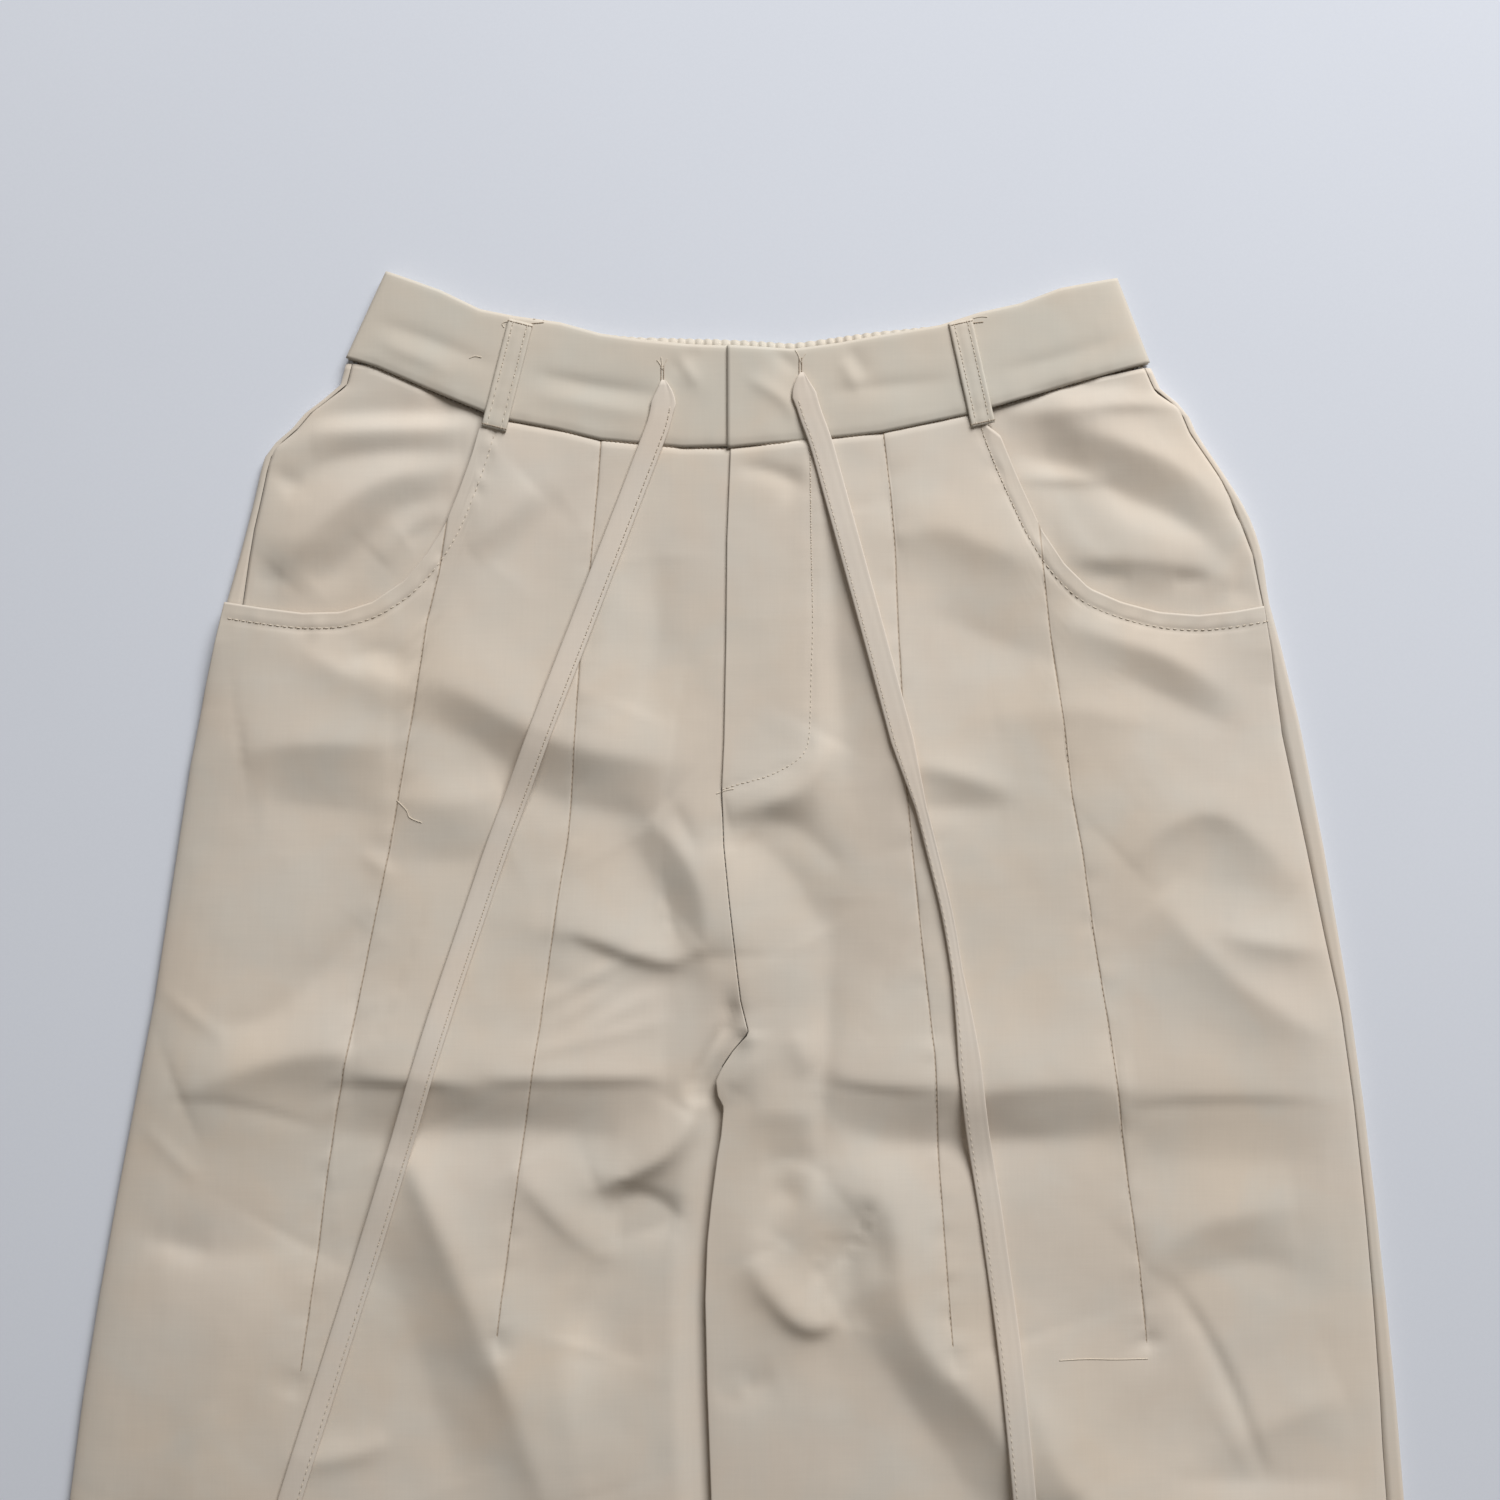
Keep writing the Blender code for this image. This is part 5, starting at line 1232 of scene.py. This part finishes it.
# %% Drawstring ends
TIE_WIDTH = 9.6
TIE_WALL = 1.1
TIE_EDGE_STITCH = 3.2       # distance of its stitches from its middle
LEFT_TIE = (
    (-30.8, 46), (-29.4, 56), (-65.4, 150), (-100.4, 241.7), (-121.3, 304.2), (-146.7, 387.5),
    (-186.3, 512.5), (-209.5, 588),
)
RIGHT_TIE = (
    (27.1, 43), (27.2, 54), (33.3, 66), (56.3, 150), (69.6, 200), (77.5, 227.9), (87.9, 269.2),
    (94.2, 309.6), (98.8, 352.1), (104.6, 385.9), (112.1, 440.5), (119.2, 512.5), (127.6, 600),
)
# across, up: the tie's rounded section, in halves of its width and of its thickness
TIE_RING = (
    (-1, -0.55), (-0.9, -1), (0, -1), (0.9, -1), (1, -0.55), (1, 0.55), (0.9, 1), (0.72, 0.55), (0.45, 1),
    (0, 0.8), (-0.45, 1), (-0.9, 1), (-1, 0.55),
)
# down, share of the full width: between the fly and the knee the right tie lies folded in half
RIGHT_FOLD = ((40, 1), (196, 1), (224, 0.5), (292, 0.5), (330, 1), (1010, 1))


def smooth_line(path, step):
    """Even points on a smooth line through a path, and how far along it each one is."""
    path = np.asarray(path, float)
    steps = np.r_[0, np.cumsum(np.hypot(*np.diff(path, axis=0).T))]
    count = int(steps[-1] / step) + 1
    at = np.linspace(0, steps[-1], count)
    fine = np.linspace(0, steps[-1], 72 * 8)
    made = []
    for axis in (0, 1):
        line_of = np.interp(fine, steps, path[:, axis])
        padded = np.r_[2 * line_of[0] - line_of[24:0:-1], line_of, 2 * line_of[-1] - line_of[-2:-26:-1]]
        made.append(np.interp(at, fine, np.convolve(padded, np.ones(25) / 25, "same")[24:-24]))
    return at, made[0], made[1]


def drawstring(name, path, folded, corner_side, node_name):
    """corner_side is 1 where the folded corner at the eyelet points to the right, and -1 to the left."""
    at, x, down = smooth_line(path, 2.4)
    count = len(at)
    tx, td = np.gradient(x), np.gradient(down)
    size = np.hypot(tx, td)
    tx, td = tx / size, td / size
    share = value(folded, down)
    full = np.full(count, TIE_WIDTH / 2)
    # across is to the right of a tie that runs down: (td, -tx)
    narrow = np.interp(at, (0, 3, 9), (0.7, 2.2, TIE_WIDTH / 2))
    wide = np.interp(at, (0, 4, 9, 14), (0.9, 3.5, 5.6, TIE_WIDTH / 2))
    left_half = np.where(at < 20, wide if corner_side < 0 else narrow, full * share)
    right_half = np.where(at < 20, wide if corner_side > 0 else narrow, full * share)
    wall = TIE_WALL * (2 - share)
    rest = np.zeros(count)
    for i in range(count):
        spots = [s * (right_half[i] if s > 0 else left_half[i]) for s in (-1, -0.6, 0, 0.6, 1)]
        rest[i] = max(on_cloth(x[i] + td[i] * s, down[i] - tx[i] * s) for s in spots)
    held = np.array([rest[max(0, i - 3):i + 4].max() for i in range(count)])
    held = np.convolve(np.pad(held, 5, mode="edge"), np.ones(11) / 11, "valid")
    rest = np.maximum(held, rest) + 0.3
    points, centres, stitch_line = [], [], []
    for i in range(count):
        middle = rest[i] + wall[i] / 2
        centres.append((x[i], down[i], middle))
        for u, w in TIE_RING:
            flat = u * (right_half[i] if u > 0 else left_half[i])
            points.append((x[i] + td[i] * flat, down[i] - tx[i] * flat, middle + w * wall[i] / 2))
        flat = corner_side * TIE_EDGE_STITCH * share[i]
        stitch_line.append((x[i] + td[i] * flat, down[i] - tx[i] * flat, middle + wall[i] / 2))
    around = len(TIE_RING)
    faces = []
    for i in range(count - 1):
        for k in range(around):
            a, b = i * around + k, i * around + (k + 1) % around
            faces.append((a, b, b + around, a + around))
    faces.append(tuple(range(around))[::-1])
    faces.append(tuple((count - 1) * around + k for k in range(around)))
    made = add_piece(name, points, faces, TIE, [node_name], np.full(len(points), NO_SEAM))
    route = [place(*p) for p in centres]
    length = sum(math.dist(a, b) for a, b in zip(route, route[1:]))
    return length, stitch_line


left_length, left_tie_stitches = drawstring("drawstring_left_tie", LEFT_TIE, ((0, 1), (1010, 1)), 1,
                                            "drawstring_left")
right_length, right_tie_stitches = drawstring("drawstring_right_tie", RIGHT_TIE, RIGHT_FOLD, -1,
                                              "drawstring_right")
print("tie ends:", round(left_length, 3), "m and", round(right_length, 3), "m")

# %% [markdown]
# Stitches repeat along a line, which is what Geometry Nodes do well. A tree turns an edge path into a
# curve, spaces points evenly along it and puts a short piece of thread at each, turned to the line.
# Its inputs have names, so one tree serves topstitching, seam stitching and the dense bar tacks. It
# ends by making the copies real, because a copy that is only an instance would be lost on export.

# %% Stitch tree
stitching = bpy.data.node_groups.new("stitch_row", "GeometryNodeTree")
stitching.is_modifier = True
stitching.interface.new_socket("Geometry", in_out="INPUT", socket_type="NodeSocketGeometry")
for name, default in (("Pitch", 0.003), ("Length", 0.002), ("Width", 0.0004), ("Unevenness", 0.12)):
    float_socket(stitching, name, default)
stitching.interface.new_socket("Thread", in_out="INPUT", socket_type="NodeSocketMaterial")
stitching.interface.new_socket("Geometry", in_out="OUTPUT", socket_type="NodeSocketGeometry")
given = stitching.nodes.new("NodeGroupInput")
curve = node(stitching, "GeometryNodeMeshToCurve", {"Mesh": given.outputs["Geometry"]})
spaced = node(stitching, "GeometryNodeResampleCurve", {
    "Curve": curve.outputs["Curve"], "Length": given.outputs["Pitch"],
}, mode="LENGTH")
bead = node(stitching, "GeometryNodeMeshUVSphere", {"Segments": 6, "Rings": 4, "Radius": 0.5})
smooth = node(stitching, "GeometryNodeSetShadeSmooth", {"Geometry": bead.outputs["Mesh"]})
turn = node(stitching, "FunctionNodeAlignRotationToVector", {
    "Vector": node(stitching, "GeometryNodeInputTangent").outputs["Tangent"],
}, axis="X")
least = node(stitching, "ShaderNodeMath", {0: 1.0, 1: given.outputs["Unevenness"]}, operation="SUBTRACT")
most = node(stitching, "ShaderNodeMath", {0: 1.0, 1: given.outputs["Unevenness"]}, operation="ADD")
chance = node(stitching, "FunctionNodeRandomValue", {"Seed": 7}, data_type="FLOAT")
stitching.links.new(least.outputs[0], chance.inputs[2])
stitching.links.new(most.outputs[0], chance.inputs[3])
long = node(stitching, "ShaderNodeMath", {0: given.outputs["Length"], 1: chance.outputs[1]},
            operation="MULTIPLY")
size = node(stitching, "ShaderNodeCombineXYZ", {
    "X": long.outputs[0], "Y": given.outputs["Width"], "Z": given.outputs["Width"],
})
placed = node(stitching, "GeometryNodeInstanceOnPoints", {
    "Points": spaced.outputs["Curve"], "Instance": smooth.outputs["Geometry"],
    "Rotation": turn.outputs["Rotation"], "Scale": size.outputs[0],
})
real = node(stitching, "GeometryNodeRealizeInstances", {"Geometry": placed.outputs["Instances"]})
dressed = node(stitching, "GeometryNodeSetMaterial", {
    "Geometry": real.outputs["Geometry"], "Material": given.outputs["Thread"],
})
node(stitching, "NodeGroupOutput", {"Geometry": dressed.outputs["Geometry"]})
print("stitch tree:", len(stitching.nodes), "nodes")

# %% [markdown]
# The rows of stitches are given as paths on the cloth. Each path is read at every millimetre, so that
# it follows the folds, and is then handed to the tree. The result becomes a plain mesh, and the
# modifier goes, so that nothing live is left on the piece.

# %% Stitching helper
def on_surface(path, lift, step=1.0):
    """Points along a path of (x, down), each at the height of the cloth there."""
    count = max(2, int(sum(math.dist(a, b) for a, b in zip(path, path[1:])) / step))
    return [(x, d, on_cloth(x, d) + lift) for x, d in along_path(smooth_path(path), count)]


def stitch(name, paths, pitch, length, width, thread, unevenness=0.12):
    """Makes one piece of stitches along paths of (x, down, height), in millimetres."""
    points, edges = [], []
    for path in paths:
        start = len(points)
        points += [place(*p) for p in path]
        edges += [(i, i + 1) for i in range(start, len(points) - 1)]
    mesh = bpy.data.meshes.new(name)
    mesh.from_pydata(points, edges, [])
    obj = bpy.data.objects.new(name, mesh)
    bpy.context.scene.collection.objects.link(obj)
    modifier = obj.modifiers.new("stitches", "NODES")
    modifier.node_group = stitching
    settings = {"Pitch": pitch * MM, "Length": length * MM, "Width": width * MM, "Unevenness": unevenness,
                "Thread": thread}
    for item in stitching.interface.items_tree:
        if item.in_out == "INPUT" and item.name in settings:
            modifier[item.identifier] = settings[item.name]
    graph = bpy.context.evaluated_depsgraph_get()
    graph.update()
    plain = bpy.data.meshes.new_from_object(obj.evaluated_get(graph))
    obj.modifiers.clear()
    obj.data = plain
    plain.name = name
    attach(obj, "root")
    print(name, len(plain.polygons), "faces")
    return obj


def topstitch(name, paths, pitch, length):
    """Stitches on top of the cloth, and dark beads between them that paint the needle holes' shade."""
    stitch(name, paths, pitch, length, 0.42, THREAD)
    hole_shade_spots = []
    for path in paths:
        steps = np.r_[0, np.cumsum([math.dist(a, b) for a, b in zip(path, path[1:])])]
        count = int((steps[-1] - pitch) / pitch)
        at = pitch / 2 + pitch * np.arange(count + 1)
        hole_shade_spots.append([tuple(np.interp(s, steps, [p[k] for p in path]) for k in range(3)) for s in at])
    sunk = [[(x, d, z - 0.1) for x, d, z in path] for path in hole_shade_spots]
    stitch(name + "_holes", sunk, pitch, 0.62, 0.46, HOLE_SHADE, 0.2)


def offset_inside(path, distance, sign):
    """A path moved sideways by a distance. sign 1 moves it to the right of its direction."""
    points = np.asarray(smooth_path(path), float)
    tx, td = np.gradient(points[:, 0]), np.gradient(points[:, 1])
    size = np.hypot(tx, td)
    return list(zip(points[:, 0] - sign * distance * td / size, points[:, 1] + sign * distance * tx / size))


print("stitching helper ready")

# %% [markdown]
# Topstitching lies on top of the cloth. It runs along both pocket edges, round the fly, down the ties
# and across the hems. Between two stitches the thread goes down through a hole, which shows as a dot:
# a dark bead painted with the hole's shade.

# %% Topstitching
STITCH_LIFT = 0.08          # a thread's middle over the cloth

top_rows = [on_surface(offset_inside(LEFT_SCOOP, POCKET_HEM, 1)[2:-3], STITCH_LIFT),
            on_surface(offset_inside(RIGHT_SCOOP, POCKET_HEM, 1)[3:-2], STITCH_LIFT)]
topstitch("pocket_topstitching", top_rows, 2.9, 1.9)
topstitch("fly_topstitching", [on_surface(FLY_STITCH, STITCH_LIFT)], 2.2, 1.4)
topstitch("tie_stitching", [left_tie_stitches[5:], right_tie_stitches[5:]], 2.9, 1.9)
hem_rows = []
for low, high in ((LEFT_OUTLINE, LEFT_FRONT_EDGE), (RIGHT_FRONT_EDGE, RIGHT_OUTLINE)):
    at = LENGTH - HEM
    inner = (value(low, at) + 6, value(high, at) - 9)
    hem_rows.append(on_surface([(s, at) for s in np.linspace(*inner, 60)], STITCH_LIFT, 2.0))
topstitch("hem_stitching", hem_rows, 3.2, 2.1)

# %% [markdown]
# The waist seam and the darts are sewn from inside, so only the dips between their stitches show, as
# a row of small brown dots in the ditch. The same tree makes them as dark beads, painted with the
# shade of those dips, that lie lower than the cloth on both sides.

# %% Seam stitching
# x from and to: the waist seam without the stretches under the belt loops and the lap
WAIST_RUNS = ((-161, -107), (-94, -6), (-3, 97), (109, 170))
# table, down from and to
DART_RUNS = (
    (LEFT_OUTER_DART, 112, 459),
    (LEFT_INNER_DART, 72, 444),
    (RIGHT_INNER_DART, 70, 448),
    (RIGHT_OUTER_DART, 122, 447),
)
CENTRE_RUN = (218, 317)     # the seam below the fly

waist_rows = []
for low, high in WAIST_RUNS:
    run = np.linspace(low, high, 60)
    row = zip(run, value(WAIST_SEAM, run))
    waist_rows.append([(x, d, min(on_cloth(x, d - 0.8), on_cloth(x, d + 0.9)) - 0.25) for x, d in row])
stitch("waist_seam_stitching", waist_rows, 1.9, 1.3, 0.5, DIP_SHADE_THREAD, 0.2)
dart_rows = []
for table, top, end in DART_RUNS:
    levels = np.arange(top, end, 2.0)
    dart_rows.append([(x, d, on_cloth(x, d) + 0.02) for x, d in zip(value(table, levels), levels)])
levels = np.arange(*CENTRE_RUN, 2.0)
middle = (value(RIGHT_FRONT_EDGE, levels) + value(LEFT_FRONT_EDGE, levels)) / 2
row = zip(middle, levels)
dart_rows.append([(x, d, min(on_cloth(x - 0.7, d), on_cloth(x + 0.7, d)) - 0.1) for x, d in row])
stitch("dart_stitching", dart_rows, 2.6, 1.5, 0.26, DIP_SHADE_THREAD, 0.3)

# %% [markdown]
# Each belt loop has a row of stitches inside both edges and a dense bar tack across both ends. At an
# eyelet, tiny close stitches bind the slit's two sides. All of these are short straight paths.

# %% Loop stitching, bar tacks and eyelets
# x, down from and to
EYELETS = ((-31.1, 40.2, 47.5), (26.4, 37.0, 44.5))

loop_rows, tack_rows = [], []
loop_height = surface_finder(loops)
for (_, top, foot, width, _) in LOOPS:
    direction = (np.array(foot) - np.array(top)) / math.dist(foot, top)
    across = np.array([direction[1], -direction[0]])
    for side in (-1, 1):
        start = np.array(top) + across * side * (width / 2 - 2.2) + direction * 1.2
        end = np.array(foot) + across * side * (width / 2 - 2.2) - direction * 1.2
        row = np.linspace(start, end, 46)
        loop_rows.append([(x, d, loop_height(x, d) + STITCH_LIFT) for x, d in row])
    for at, inset in ((top, 1.0), (foot, -1.0)):
        middle = np.array(at) + direction * inset
        row = np.linspace(middle - across * (width / 2 - 0.3), middle + across * (width / 2 - 0.3), 12)
        tack_rows.append([(x, d, loop_height(x, d) + 0.06) for x, d in row])
    tail = np.array(top) + direction * 0.8
    start = tail + abs(across) * np.array([width / 2, 0])
    row = np.linspace(start, tail + np.array([width / 2 + 4, -0.4]), 6)
    tack_rows.append([(x, d, on_cloth(x, d) + 0.1) for x, d in row])
topstitch("loop_stitching", loop_rows, 3.0, 1.9)
# the bar tacks and eyelet stitches use the same dark finish that paints the seam dips' shade
stitch("bar_tacks", tack_rows, 1.0, 1.2, 0.45, DIP_SHADE_THREAD, 0.3)
eyelet_rows = []
for middle, top, end in EYELETS:
    for shift in (-0.55, 0.55):
        row = [(middle + shift, d) for d in np.linspace(top, end, 10)]
        eyelet_rows.append([(x, d, on_cloth(x, d) + 0.05) for x, d in row])
stitch("eyelet_stitching", eyelet_rows, 0.7, 0.9, 0.5, DIP_SHADE_THREAD, 0.3)

# %% [markdown]
# A few ends of thread were left uncut: tufts at the loops and the eyelets, a curl on the left leg and
# a straight one across the right leg. A small tube along a bent path makes each of them.

# %% Loose thread ends
THREAD_LIFT = 0.12          # a loose thread's middle over the cloth


def thread_end(path, radius=0.16, sides=6):
    """Points and faces of a thin tube along points of (x, down, height)."""
    path = np.asarray(path, float)
    points, faces = [], []
    run = np.gradient(path, axis=0)
    run /= np.linalg.norm(run, axis=1)[:, None]
    for i, (centre, ahead) in enumerate(zip(path, run)):
        flat = np.cross(ahead, (0, 0, 1.0))
        flat /= np.linalg.norm(flat)
        up = np.cross(flat, ahead)
        for k in range(sides):
            a = 2 * math.pi * k / sides
            points.append(centre + radius * (math.cos(a) * flat + math.sin(a) * up))
            if i:
                b = (i - 1) * sides
                faces.append((b + k, b + (k + 1) % sides, b + sides + (k + 1) % sides, b + sides + k))
    last = (len(path) - 1) * sides
    faces.append(tuple(range(sides))[::-1])
    faces.append(tuple(last + k for k in range(sides)))
    return points, faces


THREAD_ENDS = (
    ((-141.8, 221), (-139.5, 223), (-137.2, 225.5), (-136.8, 228), (-133.5, 229.5), (-131.2, 230.2)),
    ((133.8, 453.5), (146, 453), (158, 453.6), (171, 453.4)),
    ((-84.9, 20.4), (-82.5, 20.2), (-80.6, 20.8)),
    ((-95.4, 21.5), (-98.2, 22.2), (-97, 24)),
    ((-106.4, 36.5), (-109.3, 35.8), (-111.4, 36.8)),
    ((-33.4, 37.6), (-32, 39.2), (-31.2, 41.4)),
    ((-29.2, 37.2), (-30.2, 39.4), (-31, 41.6)),
    ((-31.6, 36.4), (-31.3, 39), (-31.1, 41.2)),
    ((24.2, 33.4), (25.6, 35.6), (26.4, 38.2)),
    ((28.6, 34.8), (27.4, 36.6), (26.6, 38.8)),
    ((-8.6, 218.2), (-4.2, 216.6), (-1.4, 216.2)),
    ((98.6, 20.1), (101.4, 19.4), (104.2, 19.6)),
)
points, faces = [], []
for path in THREAD_ENDS:
    bent = smooth_path(path)
    spots = along_path(bent, max(8, 3 * len(bent)))
    raised = [(x, d, on_cloth(x, d) + THREAD_LIFT) for x, d in spots]
    more, around = thread_end(raised)
    faces += [tuple(i + len(points) for i in face) for face in around]
    points += more
add_piece("thread_ends", points, faces, THREAD, None)
print("thread ends:", len(THREAD_ENDS))
